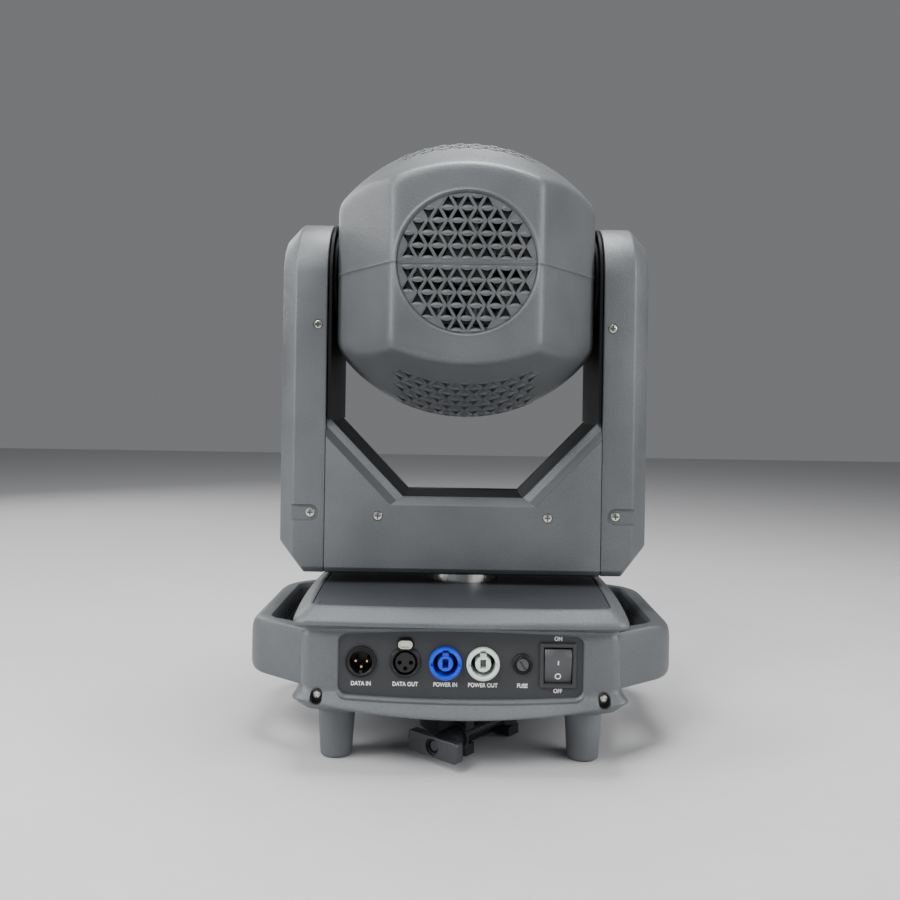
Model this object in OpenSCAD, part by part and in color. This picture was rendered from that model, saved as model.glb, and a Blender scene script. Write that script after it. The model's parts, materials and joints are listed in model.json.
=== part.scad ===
// Moving head light: a base with feet, a yoke that pans and a head that tilts.
// Millimetres. +Z up, origin on the floor under the pan axis.
// The connector side faces -Y and the lens faces +Y at rest.

/* [Overall] */
// Height of the tilt axis above the floor
tilt_z = 378.5; // [375:0.5:390]
// Wall of the moulded covers
wall = 3; // [2.5:0.5:3.5]
// Clearance between pieces that stay together
gap = 0.1; // [0.05:0.05:0.2]

/* [Base] */
// Half width of the base at its widest lip
base_half_w = 126; // [122:1:128]
// Half depth of the base at its widest lip
base_half_d = 138; // [136:1:142]
// How far the waist is drawn in from the lips
waist_in = 7; // [5:1:8]
// Height of the underside above the floor
base_z = 40; // [38:1:42]
// Height of the deck
deck_z = 121; // [120:1:122]
// Chamfer of the base's upright corners
base_corner = 4; // [3:1:6]
// Top diameter of a foot
foot_d = 29; // [24:1:30]
// Outer half width over the handles
handle_half_w = 172; // [166:1:174]

/* [Connector panel] */
// Half width of the panel's window
window_half_w = 90.4; // [88:0.4:92]
// Height of the connectors' centre line
connector_z = 80.5; // [79:0.5:82]
// Radius of a panel connector's barrel
barrel_r = 10.6; // [10.4:0.1:10.8]

/* [Pan] */
// Outer radius of the pan tube
pan_tube_r = 32; // [30:0.5:33]
// Teeth on the fixed pan pulley
pan_teeth = 80; // [76:1:80]
// Teeth on the pan motor's pulley
pan_motor_teeth = 16; // [16:1:18]
// Distance from the pan axis to the pan motor
pan_motor_x = 82; // [80:1:84]

/* [Yoke] */
// Height of the yoke's underside
yoke_z = 130; // [129:1:134]
// Inner face of the arms, from the middle
arm_in_x = 111.5; // [111:0.5:112]
// Outer face of the arms, from the middle
arm_out_x = 154.5; // [152:0.5:156]
// Half depth of the arms and radius of their tops
arm_half_d = 49; // [48:1:52]
// Height of the crossbar's rear face in the middle
crossbar_top_z = 187.6; // [186:0.2:189]

/* [Tilt] */
// Radius of the tilt shafts
tilt_shaft_r = 15; // [14:0.5:16]
// Teeth on the head's tilt pulley
tilt_teeth = 60; // [56:1:60]
// Teeth on the tilt motor's pulley
tilt_motor_teeth = 15; // [15:1:16]
// Distance from the tilt axis down to the tilt motor
tilt_motor_drop = 150; // [145:1:155]

/* [Head] */
// Half width of the head
head_half_w = 108.7; // [107:0.1:109]
// Half height of the head
head_half_h = 117; // [114:1:120]
// Radius of the head's crowned top and bottom
head_crown_r = 137; // [135:1:140]
// Distance from the tilt axis to the rear face
head_rear_y = 120; // [118:1:124]
// Distance from the tilt axis to the shell's front end
head_front_y = 128; // [126:1:130]
// Radius of the rear grille
grille_r = 52.5; // [50:0.5:54]
// Radius of the front lens
lens_r = 65; // [62:1:66]

/* [Hanging clamp] */
// Radius of the tube that the clamp fits
tube_r = 25; // [24:0.5:25.5]
// Turn of the clamp's direction about the upright axis
clamp_turn = -40; // [-45:1:-30]
// How far the clamp's middle is set off along its fold axis
clamp_shift = 17.7; // [10:0.1:20]
// How far the fold axis lies in front of the base's middle
clamp_back = 38; // [34:1:40]
// Height of the bracket's fold axis
fold_z = 22; // [21:0.5:23]

/* [Hidden] */
$fn = 96;

// Pitch of the toothed belts, and the radius of a pulley with n teeth at its tips
belt_pitch = 3;
function tip_r(n) = n * belt_pitch / (2 * PI) - 0.4;

run = 0.05;            // running clearance of a shaft in its bearing
thread_clear = 0.05;   // a screw's shank in its hole

waist_w = base_half_w - waist_in;
waist_d = base_half_d - waist_in;
cover_z = base_z + 4.3;           // bottom edge of the base cover
lip_z = 109.5;                      // lower edge of the upper lip
flare_z = 54;                     // tips of the lower flare
handle_z = 54.5;                  // underside of the handles
cavity_w = waist_w - 3.5;
cavity_d = waist_d - 2.1;
deck_plate_w = 112;
deck_plate_d = 126;
deck_t = 3;
panel_y = cavity_d - 0.1;         // the panel's outer face is at -panel_y
panel_t = 2;
window_low = 57;                  // window corners, then how far its edges bow out
window_high = 100.2;
window_bow_low = 3.2;
window_bow_high = 3;
foot_x = 95.5;
foot_y = 97;

data_in_x = -73.8;
data_out_x = -41;
power_in_x = -11.3;
power_out_x = 16.5;
fuse_x = 45.7;
fuse_r = 6;                       // barrel of the fuse holder
switch_x = 72;
switch_z = 80;

boss_r = 46;                      // seat of the pan bearing
pan_bearing_r = 42;
bearing_z = yoke_z + 3.2;
pulley_z = yoke_z + 16.5;         // lower face of the pan pulley
pulley_h = 9;
belt_h = 7;
belt_t = 1.6;
shelf_z = pulley_z + pulley_h + 0.8;
motor_w = 42;
motor_h = 20;
motor_shaft_r = 2.5;

arm_chamfer_x = 141;              // where the arm's rear face turns to the outer side
arm_chamfer_y = 35;
arm_cut_x = 22;                   // cut of the arm's lower outer corner
arm_cut_z = 25;
cover_in_x = arm_in_x + 3.6;      // inner edge of an arm cover
notch_x = 61;                     // half width of the crossbar's level stretch
rim_in = 10.5;                    // how far the bright rim reaches in and up
rim_up = 6.7;
rim_deep = 6.5;
crossbar_d = 39.8;                // half depth of the black top sheet
sheet = 2;
arm_plate = 2.2;

tilt_bearing_r = 21;
tilt_pulley_x = 137.5;
tilt_motor_z = tilt_z - tilt_motor_drop;

seam = 0.1;                       // half the gap between the head's two halves
hub_neck_r = 24;
hub_disc_r = 42;
crown_drop = head_crown_r - head_half_h;
corner_turn = -32;                // the sloping cut of the head's rear corners
corner_lean = 39.8;
corner_reach = 120.2;
wheel_offset = 34;
wheel_r = 46;
rod_x = 62;
rod_z = -45;
rod_r = 3;

bridge_y = -21.5;                 // outer face of the bracket's bridge
strap_x = 32;
strap_t = 4;
clamp_half = 14;                  // half width of the clamp along its tube
clamp_z = 15.5;
clamp_y = bridge_y - 39;
ring_r = tube_r + 8;
swing_x = 45;
ear_y = clamp_y - 54;
bolt_r = 5;
nut_l = 28;                       // length of the wing nut
bolt_end_y = ear_y - 28;

// ---- shared shapes -------------------------------------------------------------

module both_sides() {
  children();
  mirror([1, 0, 0]) children();
}

module both_ends() {
  children();
  mirror([0, 1, 0]) children();
}

module at_corners(x, y) {
  for (sx = [-1, 1], sy = [-1, 1]) translate([sx * x, sy * y, 0]) children();
}

// Rectangle with cut corners
module cut_rect(w, d, c) {
  polygon([[-w + c, -d], [w - c, -d], [w, -d + c], [w, d - c],
    [w - c, d], [-w + c, d], [-w, d - c], [-w, -d + c]]);
}

// Extrudes an outline drawn in X and Z along Y, from y0 to y1
module along_y(y0, y1) {
  translate([0, y1, 0]) rotate([90, 0, 0]) linear_extrude(y1 - y0) children();
}

// Extrudes an outline drawn in Y and Z along X, from x0 to x1
module along_x(x0, x1) {
  translate([x0, 0, 0]) rotate([90, 0, 90]) linear_extrude(x1 - x0) children();
}

// Both halves of a mirrored outline, from the points of its right half
function mirrored(pts) =
  concat(pts, [for (i = [len(pts) - 1:-1:0]) [-pts[i][0], pts[i][1]]]);

// Toothed pulley outline
module gear_outline(n) {
  r = tip_r(n);
  polygon([for (i = [0:4 * n - 1])
    let (a = 360 * (i + 0.5) / (4 * n), q = (i % 4 < 2) ? r : r - 1.1) [q * cos(a), q * sin(a)]]);
}

// Belt outline round two pulleys
module belt_outline(r1, r2, distance, grow) {
  hull() {
    circle(r1 + grow, $fn = 72);
    translate([distance, 0]) circle(r2 + grow, $fn = 32);
  }
}

module belt(r1, r2, distance) {
  linear_extrude(belt_h) difference() {
    belt_outline(r1, r2, distance, 0.35 + belt_t);
    belt_outline(r1, r2, distance, 0.35);
  }
}

// Pan-head screw with its head's outer face at z = 0 and its shank below
module screw(head_r, head_h, shank_r, length) {
  translate([0, 0, -head_h]) difference() {
    cylinder(h = head_h, r = head_r, $fn = 32);
    for (a = [0, 90]) {
      rotate([0, 0, a]) translate([-head_r * 0.6, -0.4, head_h - 1]) cube([head_r * 1.2, 0.8, 2]);
    }
  }
  translate([0, 0, -length]) cylinder(h = length - head_h, r = shank_r, $fn = 24);
}

// Stands children on the rear panel: local Y is up and local Z is outward
module on_panel(x, z) {
  translate([x, -panel_y, z]) rotate([90, 0, 0]) children();
}

// ---- base ------------------------------------------------------------------------

module feet() {
  color("dimgray") at_corners(foot_x, foot_y) rotate_extrude()
    polygon([[0, 0], [10.2, 0], [12.2, 2], [foot_d / 2, base_z - 2], [foot_d / 2, base_z], [0, base_z]]);
}

module base_bottom() {
  in_low = 17.5;
  in_high = 13.5;
  color("dimgray") intersection() {
    translate([0, 0, base_z]) linear_extrude(4) cut_rect(base_half_w - in_high, base_half_d - in_high, base_corner);
    along_y(-base_half_d, base_half_d)
      polygon(mirrored([[base_half_w - in_low, base_z], [base_half_w - in_high, base_z + 4]]));
    along_x(-base_half_w, base_half_w)
      polygon(mirrored([[base_half_d - in_low, base_z], [base_half_d - in_high, base_z + 4]]));
  }
}

// Upright profile of the cover for a given half width of its lips
function cover_profile(half) = mirrored([[half - 13.5, cover_z], [half, flare_z],
  [half - waist_in, flare_z + 9], [half - waist_in, lip_z - 6], [half, lip_z],
  [half, lip_z + 3], [half - 9, deck_z]]);

module window_outline() {
  steps = 12;
  function bow(t) = 1 - pow(2 * t - 1, 2);
  low = [for (i = [0:steps]) let (t = i / steps)
    [window_half_w * (2 * t - 1), window_low - window_bow_low * bow(t)]];
  high = [for (i = [steps:-1:0]) let (t = i / steps)
    [window_half_w * (2 * t - 1), window_high + window_bow_high * bow(t)]];
  polygon(concat(low, high));
}

corner_screw_x = 106;
corner_screw_z = 59;
corner_screw_y = waist_d + 2.5;
deck_screw_x = 105;
deck_screw_y = 118;

module base_cover() {
  color("gray") difference() {
    intersection() {
      translate([0, 0, cover_z]) linear_extrude(deck_z - cover_z) cut_rect(base_half_w, base_half_d, base_corner);
      along_y(-base_half_d, base_half_d) polygon(cover_profile(base_half_w));
      along_x(-base_half_w, base_half_w) polygon(cover_profile(base_half_d));
    }
    translate([0, 0, cover_z - 1]) linear_extrude(115.5 - cover_z) cut_rect(cavity_w - 4, cavity_d, 8);
    translate([0, 0, 110]) linear_extrude(20) cut_rect(98, 112, 6);
    translate([0, 0, deck_z - deck_t]) linear_extrude(20) cut_rect(deck_plate_w + gap, deck_plate_d + gap, 6);
    along_y(-base_half_d - 5, -cavity_d + 1) window_outline();
    translate([-56, cavity_d - 5, 70]) cube([112, 20, 28]);
    both_ends() both_sides() translate([corner_screw_x, -corner_screw_y, corner_screw_z]) rotate([90, 0, 0]) {
      cylinder(h = 10, r = 5, $fn = 32);
      translate([0, 0, -20]) cylinder(h = 25, r = 1.8 + thread_clear, $fn = 24);
    }
    at_corners(deck_screw_x, deck_screw_y) translate([0, 0, 100]) cylinder(h = 30, r = 1.6 + thread_clear, $fn = 24);
  }
}

module deck_plate() {
  color([0.12, 0.13, 0.14]) difference() {
    translate([0, 0, deck_z - deck_t + gap]) linear_extrude(deck_t - gap) cut_rect(deck_plate_w, deck_plate_d, 6);
    translate([0, 0, deck_z - 10]) cylinder(h = 20, r = pan_tube_r + 0.2);
    at_corners(deck_screw_x, deck_screw_y) translate([0, 0, 100]) cylinder(h = 30, r = 1.6 + thread_clear, $fn = 24);
  }
}

module connector_panel() {
  color([0.15, 0.15, 0.16]) difference() {
    translate([-95, -panel_y, 50]) cube([190, panel_t, 60]);
    for (x = [data_in_x, data_out_x, power_in_x, power_out_x]) {
      on_panel(x, connector_z) translate([0, 0, -5]) cylinder(h = 10, r = barrel_r + gap);
    }
    on_panel(fuse_x, connector_z) translate([0, 0, -5]) cylinder(h = 10, r = fuse_r + gap);
    on_panel(switch_x, switch_z) translate([-12 - gap, -15 - gap, -5]) cube([24 + 2 * gap, 30 + 2 * gap, 10]);
  }
}

// Wing-shaped handle with a finger gap between its bar and the body
module handle() {
  root = waist_w + 0.2;
  color("dimgray") intersection() {
    difference() {
      translate([0, 0, handle_z]) linear_extrude(50)
        polygon([[root, -105], [handle_half_w, -70], [handle_half_w, 70], [root, 105]]);
      translate([0, 0, handle_z - 2]) linear_extrude(60)
        polygon([[root + 7, -74], [148, -62], [148, 62], [root + 7, 74]]);
    }
    along_y(-110, 110) polygon([[root, flare_z + 10], [base_half_w + 0.8, handle_z + 2.5],
      [handle_half_w, handle_z], [handle_half_w, handle_z + 34], [150, handle_z + 46],
      [root + 7, handle_z + 47], [root + 6, lip_z - 6.3], [root, lip_z - 6.3]]);
  }
}

module handle_right() {
  handle();
}

module handle_left() {
  mirror([1, 0, 0]) handle();
}

module base_screws() {
  color("silver") {
    both_ends() both_sides() translate([corner_screw_x, -corner_screw_y - 2.2, corner_screw_z])
      rotate([90, 0, 0]) screw(3.5, 2.2, 1.8, 14);
    at_corners(deck_screw_x, deck_screw_y) translate([0, 0, deck_z + 1]) screw(2.8, 1, 1.6, 10);
  }
}

module data_in_socket() {
  color([0.08, 0.08, 0.09]) on_panel(data_in_x, connector_z) {
    difference() {
      union() {
        cylinder(h = 2.5, r = 11.6);
        translate([0, 0, -22]) cylinder(h = 22.5, r = barrel_r);
      }
      translate([0, 0, -14]) cylinder(h = 20, r = 8.5);
    }
  }
  color("gold") on_panel(data_in_x, connector_z) for (a = [0, 180, 270]) {
    rotate([0, 0, a]) translate([4.2, 0, -15]) cylinder(h = 14, r = 1.2, $fn = 24);
  }
}

module data_out_socket() {
  color([0.08, 0.08, 0.09]) on_panel(data_out_x, connector_z) difference() {
    union() {
      cylinder(h = 2.5, r = 11.4);
      translate([-7, 8, 0]) cube([14, 10.5, 4]);
      translate([0, 0, -22]) cylinder(h = 22.5, r = barrel_r);
    }
    translate([0, 0, -12]) difference() {
      cylinder(h = 20, r = 9);
      translate([0, 0, -1]) cylinder(h = 13.5, r = 7.6);
    }
    for (a = [0, 180, 270]) {
      rotate([0, 0, a]) translate([4.2, 0, -11]) cylinder(h = 20, r = 1.5, $fn = 24);
    }
    translate([-5.8, 8.6, 0.8]) cube([11.6, 8.8, 10]);
  }
}

module data_out_latch() {
  color("silver") on_panel(data_out_x, connector_z) difference() {
    translate([-5.4, 10.8, 1.1]) cube([10.8, 6.4, 4.4]);
    translate([-8, 10, 5.5]) rotate([0, 90, 0]) cylinder(h = 16, r = 2.2, $fn = 24);
  }
}

module power_socket(x) {
  on_panel(x, connector_z) {
    difference() {
      union() {
        cylinder(h = 5, r = 12.2);
        translate([0, 0, -22]) cylinder(h = 22.5, r = barrel_r);
      }
      translate([0, 0, -14]) cylinder(h = 30, r = 9.2);
    }
    difference() {
      translate([0, 0, -15]) cylinder(h = 17, r = 5.6);
      for (a = [0, 90, 180]) {
        rotate([0, 0, a]) translate([3, -0.8, -8]) cube([4, 1.6, 20]);
      }
    }
    translate([-1.6, 7.5, -14]) cube([3.2, 2.5, 17]);
  }
}

module power_in_socket() {
  color([0.05, 0.15, 0.85]) power_socket(power_in_x);
}

module power_out_socket() {
  color([0.85, 0.9, 0.88]) power_socket(power_out_x);
}

module fuse_holder() {
  color([0.1, 0.1, 0.1]) on_panel(fuse_x, connector_z) difference() {
    union() {
      cylinder(h = 2, r = 7.5);
      translate([0, 0, -26]) cylinder(h = 26.5, r = fuse_r);
    }
    translate([0, 0, -22]) cylinder(h = 40, r = 4.6);
  }
}

module fuse_cap() {
  color([0.12, 0.12, 0.12]) on_panel(fuse_x, connector_z) difference() {
    translate([0, 0, -19]) cylinder(h = 22.5, r = 4.6 - run);
    rotate([0, 0, 45]) translate([-5, -0.8, 2]) cube([10, 1.6, 4]);
  }
}

module switch_frame() {
  color([0.1, 0.1, 0.11]) on_panel(switch_x, switch_z) difference() {
    union() {
      translate([-13.5, -16.5, 0]) cube([27, 33, 2.2]);
      translate([-12, -15, -18]) cube([24, 30, 18.5]);
    }
    translate([-10.4, -13.4, -10]) cube([20.8, 26.8, 20]);
    translate([-11.3, 0, -3]) rotate([0, 90, 0]) cylinder(h = 22.6, r = 1.5 + run, $fn = 24);
  }
}

rocker_tilt = 11;

module switch_rocker() {
  color([0.16, 0.16, 0.17]) on_panel(switch_x, switch_z) translate([0, 0, -3]) rotate([rocker_tilt, 0, 0]) {
    along_x(-10, 10)
      polygon([[-12.4, 0], [-12.4, 5.4], [0, 3.6], [12.4, 5.4], [12.4, 0], [2.5, -4], [-2.5, -4]]);
    translate([-11, 0, 0]) rotate([0, 90, 0]) cylinder(h = 22, r = 1.5, $fn = 24);
  }
}

display_low = 66;
display_high = 103;
button_r = 4.2;
function button_place(i) = [26 + 18 * (i % 2), i < 2 ? 91 : 77];

module display() {
  color([0.07, 0.07, 0.08]) difference() {
    union() {
      translate([-60, waist_d + 0.1, display_low]) cube([120, 3, display_high - display_low]);
      translate([-50, cavity_d - 8, 71]) cube([62, waist_d - cavity_d + 9, 26]);
    }
    for (i = [0:3]) translate([button_place(i)[0], waist_d - 1, button_place(i)[1]])
      rotate([-90, 0, 0]) cylinder(h = 10, r = button_r + 0.35, $fn = 32);
    translate([-46, waist_d + 2.5, 73]) cube([54, 5, 22]);
  }
}

module menu_button(i) {
  color("dimgray") translate([button_place(i)[0], waist_d - 2, button_place(i)[1]])
    rotate([-90, 0, 0]) cylinder(h = 7.6, r = button_r, $fn = 32);
}

module power_supply() {
  color("silver") difference() {
    translate([-75, -70, base_z + 4.2]) cube([150, 110, 50]);
    for (i = [0:7]) translate([-60 + 16 * i, -40, base_z + 50]) cube([6, 60, 10]);
    translate([-70, -75, base_z + 24]) cube([140, 14, 40]);
  }
}

module pan_tube() {
  color("silver") difference() {
    union() {
      cylinder(h = deck_z + 61, r = pan_tube_r);
      translate([0, 0, deck_z - 9]) cylinder(h = 5.9, r = 52);
    }
    translate([0, 0, -1]) cylinder(h = 300, r = pan_tube_r - 5);
    translate([0, 0, -1]) cylinder(h = deck_z - 8, r = 60);
  }
}

module pan_pulley() {
  color("slategray") translate([0, 0, pulley_z]) linear_extrude(pulley_h) difference() {
    gear_outline(pan_teeth);
    circle(pan_tube_r + 0.02);
  }
}

// ---- hanging bracket and clamp ------------------------------------------------------

// The bracket's own frame: it reaches along -Y from its fold axis along X
module clamp_frame() {
  rotate([0, 0, clamp_turn]) translate([clamp_shift, clamp_back, 0]) children();
}

module bracket_lugs() {
  color([0.1, 0.1, 0.11]) clamp_frame() both_sides() {
    along_x(strap_x + 1, strap_x + 5)
      polygon([[-16, base_z], [16, base_z], [10, fold_z - 6], [5, fold_z - 9], [-5, fold_z - 9], [-10, fold_z - 6]]);
    translate([strap_x - strap_t - 2, 0, fold_z]) rotate([0, 90, 0]) cylinder(h = strap_t + 6, r = 5);
  }
}

module hanging_bracket() {
  low = clamp_z - 10;
  high = clamp_z + 10;
  color("dimgray") clamp_frame() difference() {
    union() {
      both_sides() {
        translate([strap_x - strap_t, 0, fold_z]) rotate([0, 90, 0]) cylinder(h = strap_t, r = 9.5);
        translate([strap_x - strap_t, bridge_y + 1, low + 3]) cube([strap_t, -bridge_y - 1, high - low - 3]);
      }
      translate([-strap_x, bridge_y, low]) cube([2 * strap_x, 5, high - low]);
    }
    both_sides() translate([strap_x - 10, 0, fold_z]) rotate([0, 90, 0]) cylinder(h = 20, r = 5 + run);
    translate([0, bridge_y - 5, clamp_z]) rotate([-90, 0, 0]) cylinder(h = 20, r = bolt_r + thread_clear);
  }
}

// One half of the clamp's ring, on the side of the bridge for side = 1
module half_ring(side) {
  low = clamp_z - clamp_half;
  translate([0, clamp_y, low]) intersection() {
    difference() {
      cylinder(h = 2 * clamp_half, r = ring_r);
      translate([0, 0, -1]) cylinder(h = 2 * clamp_half + 2, r = tube_r);
    }
    translate([-60, side > 0 ? 0.8 : -60.8, -1]) cube([120, 60, 2 * clamp_half + 2]);
  }
}

knuckle_x = -ring_r - 4;
knuckle_r = 7;
knuckle_h = 9;

module clamp_base() {
  low = clamp_z - clamp_half;
  color("silver") clamp_frame() difference() {
    union() {
      half_ring(1);
      translate([-14, clamp_y + 30, low]) cube([28, bridge_y - clamp_y - 30 - 0.1, 2 * clamp_half]);
      translate([ring_r - 5, clamp_y + 1, low]) cube([swing_x - ring_r + 13, 13, 2 * clamp_half]);
      translate([knuckle_x, clamp_y, clamp_z - knuckle_h / 2]) cylinder(h = knuckle_h, r = knuckle_r);
      translate([knuckle_x, clamp_y + 2, clamp_z - knuckle_h / 2]) cube([10, 5, knuckle_h]);
    }
    translate([0, clamp_y, -5]) cylinder(h = 60, r = tube_r);
    translate([swing_x - 7.3, clamp_y - 9, clamp_z - 6.3]) cube([20, 40, 12.6]);
    translate([knuckle_x, clamp_y, 0]) cylinder(h = 40, r = 3 + run);
    for (z = [low - 1, clamp_z + knuckle_h / 2]) translate([knuckle_x, clamp_y, z])
      cylinder(h = clamp_half - knuckle_h / 2 + 1, r = knuckle_r + 0.3);
    translate([swing_x + 1, clamp_y + 8, -1]) cylinder(h = 40, r = 3 + run);
    translate([0, clamp_y + 10, clamp_z]) rotate([-90, 0, 0]) cylinder(h = 60, r = bolt_r + thread_clear);
    translate([0, clamp_y + 20, clamp_z]) rotate([-90, 0, 0]) cylinder(h = 10.5, r = 9);
  }
}

module clamp_jaw() {
  low = clamp_z - clamp_half;
  color("silver") clamp_frame() difference() {
    union() {
      half_ring(-1);
      translate([tube_r, ear_y, low]) cube([swing_x - tube_r + 8, 10, 2 * clamp_half]);
      translate([tube_r, ear_y, low]) cube([11, clamp_y - ear_y - 1, 2 * clamp_half]);
      both_knuckles();
    }
    translate([0, clamp_y, -5]) cylinder(h = 60, r = tube_r);
    translate([swing_x - 5.6, ear_y - 1, clamp_z - 5.6]) cube([20, 20, 11.2]);
    translate([knuckle_x, clamp_y, 0]) cylinder(h = 40, r = 3 + run);
    translate([knuckle_x - 8, clamp_y - 1, clamp_z - knuckle_h / 2 - 0.3]) cube([16, 12, knuckle_h + 0.6]);
    translate([knuckle_x, clamp_y, clamp_z - knuckle_h / 2 - 0.3]) cylinder(h = knuckle_h + 0.6, r = knuckle_r + 0.3);
  }
}

module both_knuckles() {
  low = clamp_z - clamp_half;
  h = clamp_half - knuckle_h / 2 - 0.3;
  for (z = [low, clamp_z + knuckle_h / 2 + 0.3]) translate([knuckle_x, clamp_y, z]) {
    cylinder(h = h, r = knuckle_r);
    translate([0, -7, 0]) cube([10, 5, h]);
  }
}

module clamp_hinge_pin() {
  color("gray") clamp_frame() translate([knuckle_x, clamp_y, clamp_z - clamp_half])
    cylinder(h = 2 * clamp_half, r = 3);
}

module clamp_bolt() {
  color("silver") clamp_frame() {
    difference() {
      union() {
        translate([swing_x + 1, clamp_y + 8, clamp_z - 6]) cylinder(h = 12, r = 8);
        translate([swing_x, bolt_end_y, clamp_z]) rotate([-90, 0, 0])
          cylinder(h = clamp_y + 3 - bolt_end_y, r = bolt_r);
      }
      translate([swing_x + 1, clamp_y + 8, -1]) cylinder(h = 40, r = 3 + run);
    }
    translate([swing_x + 1, clamp_y + 8, clamp_z - clamp_half + 0.5])
      cylinder(h = 2 * clamp_half - 1, r = 3);
  }
}

module clamp_washer() {
  color("silver") clamp_frame() translate([swing_x, ear_y - 2.4, clamp_z]) rotate([-90, 0, 0]) difference() {
    cylinder(h = 2.1, r = 11);
    translate([0, 0, -1]) cylinder(h = 5, r = bolt_r + run);
  }
}

module wing_nut() {
  outer_y = ear_y - 2.6 - nut_l;
  color("silver") clamp_frame() translate([swing_x, outer_y, clamp_z]) rotate([-90, 0, 0]) difference() {
    union() {
      cylinder(h = nut_l, r = 8.5);
      intersection() {
        translate([-24, -7.8, 0]) cube([48, 15.6, 8]);
        cylinder(h = 30, r = 24);
      }
      both_sides() wing_web();
    }
    translate([0, 0, -1]) cylinder(h = 40, r = bolt_r + run);
    translate([0, 0, -1]) cylinder(h = 3, r = 6.2);
  }
}

// Web that carries a wing from the nut's boss
module wing_web() {
  translate([0, 3, 0]) rotate([90, 0, 0]) linear_extrude(6)
    polygon([[6, 22], [6, 5], [20, 5], [13, 12]]);
}

// ---- yoke -----------------------------------------------------------------------------

// The crossbar's upper edge, as an outline that closes high above it. The level stretch is
// at height z for |x| < x0 and both ends rise at 45 degrees.
function notch_points(x0, z) = mirrored([[x0, z], [x0 + 60, z + 62.2], [x0 + 60, z + 90]]);

rim_x = notch_x - rim_in;
rim_z = crossbar_top_z + rim_up;
sheet_z = rim_z - 1;

module crossbar_cover_rear() {
  end_x = cover_in_x - 0.2;
  end_z = rim_z + (end_x - rim_x) * 62.2 / 60;
  flange_y = -crossbar_d - 0.2;
  color("gray") difference() {
    along_y(-arm_half_d, flange_y) polygon(mirrored([[end_x, yoke_z], [end_x, end_z], [rim_x, rim_z]]));
    hull() {
      along_y(-arm_half_d - 1, -arm_half_d) polygon(notch_points(notch_x, crossbar_top_z));
      along_y(-arm_half_d + rim_deep, -arm_half_d + rim_deep + 0.1) polygon(notch_points(rim_x, rim_z));
    }
    along_y(-arm_half_d + wall, 0) polygon(mirrored([[end_x + 1, yoke_z - 1], [end_x + 1, end_z - 6],
      [end_x - 2, end_z - 9], [rim_x - 1, rim_z - 9.6]]));
    along_y(-arm_half_d + rim_deep + 0.3, 0) polygon(mirrored([[end_x + 1, yoke_z - 1], [end_x + 1, end_z + 2],
      [rim_x - 1, rim_z - 3]]));
    crossbar_screw_holes();
  }
}

crossbar_screw_x = 70.6;
crossbar_screw_z = 178.3;
arm_screw_x = 122.5;
arm_screw_z = 336.8;
pocket_x = 127;
pocket_z = 180.3;
pocket_r = 6.8;
pocket_deep = 2;

module crossbar_screw_holes() {
  both_sides() translate([crossbar_screw_x, -arm_half_d, crossbar_screw_z]) rotate([90, 0, 0]) {
    translate([0, 0, -1]) cylinder(h = 10, r = 4.2, $fn = 32);
    translate([0, 0, -30]) cylinder(h = 31, r = 1.6 + thread_clear, $fn = 24);
  }
}

module crossbar_cover_front() {
  mirror([0, 1, 0]) crossbar_cover_rear();
}

module arm_screw_holes() {
  translate([arm_screw_x, -arm_half_d, arm_screw_z]) rotate([90, 0, 0]) {
    translate([0, 0, -1]) cylinder(h = 10, r = 4.2, $fn = 32);
    translate([0, 0, -30]) cylinder(h = 31, r = 1.6 + thread_clear, $fn = 24);
  }
  translate([pocket_x, -arm_half_d + pocket_deep, pocket_z]) rotate([90, 0, 0]) {
    cylinder(h = 10, r = pocket_r, $fn = 48);
    translate([0, 0, -30]) cylinder(h = 31, r = 1.6 + thread_clear, $fn = 24);
  }
  translate([pocket_x, -arm_half_d - 5, pocket_z - pocket_r]) cube([30, 5 + pocket_deep, 2 * pocket_r]);
}

// Side outline of an arm, drawn in from its outer size by i
module arm_side(i) {
  translate([0, tilt_z]) circle(arm_half_d - i);
  polygon([[-arm_half_d + i, yoke_z + i], [arm_half_d - i, yoke_z + i],
    [arm_half_d - i, tilt_z], [-arm_half_d + i, tilt_z]]);
}

// Outer form of an arm, from x0 outwards, drawn in by i
module arm_form(x0, i) {
  intersection() {
    along_x(x0, arm_out_x - i) arm_side(i);
    linear_extrude(500) polygon([[x0, -arm_half_d], [arm_chamfer_x - i * 0.4, -arm_half_d],
      [arm_out_x - i, -arm_chamfer_y + i * 0.4], [arm_out_x - i, arm_chamfer_y - i * 0.4],
      [arm_chamfer_x - i * 0.4, arm_half_d], [x0, arm_half_d]]);
    along_y(-60, 60) polygon([[x0 - 1, yoke_z], [arm_out_x - arm_cut_x - i * 0.4, yoke_z],
      [arm_out_x - i * 0.5, yoke_z + arm_cut_z + i * 0.5], [arm_out_x, 500], [x0 - 1, 500]]);
  }
}

module arm_cover() {
  color("gray") difference() {
    arm_form(cover_in_x, 0);
    arm_form(cover_in_x - 5, wall);
    both_ends() arm_screw_holes();
  }
}

module arm_cover_right() {
  arm_cover();
}

module arm_cover_left() {
  mirror([1, 0, 0]) arm_cover();
}

flange_d = arm_half_d - wall - 0.5;     // outer face of the screw flanges

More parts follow.
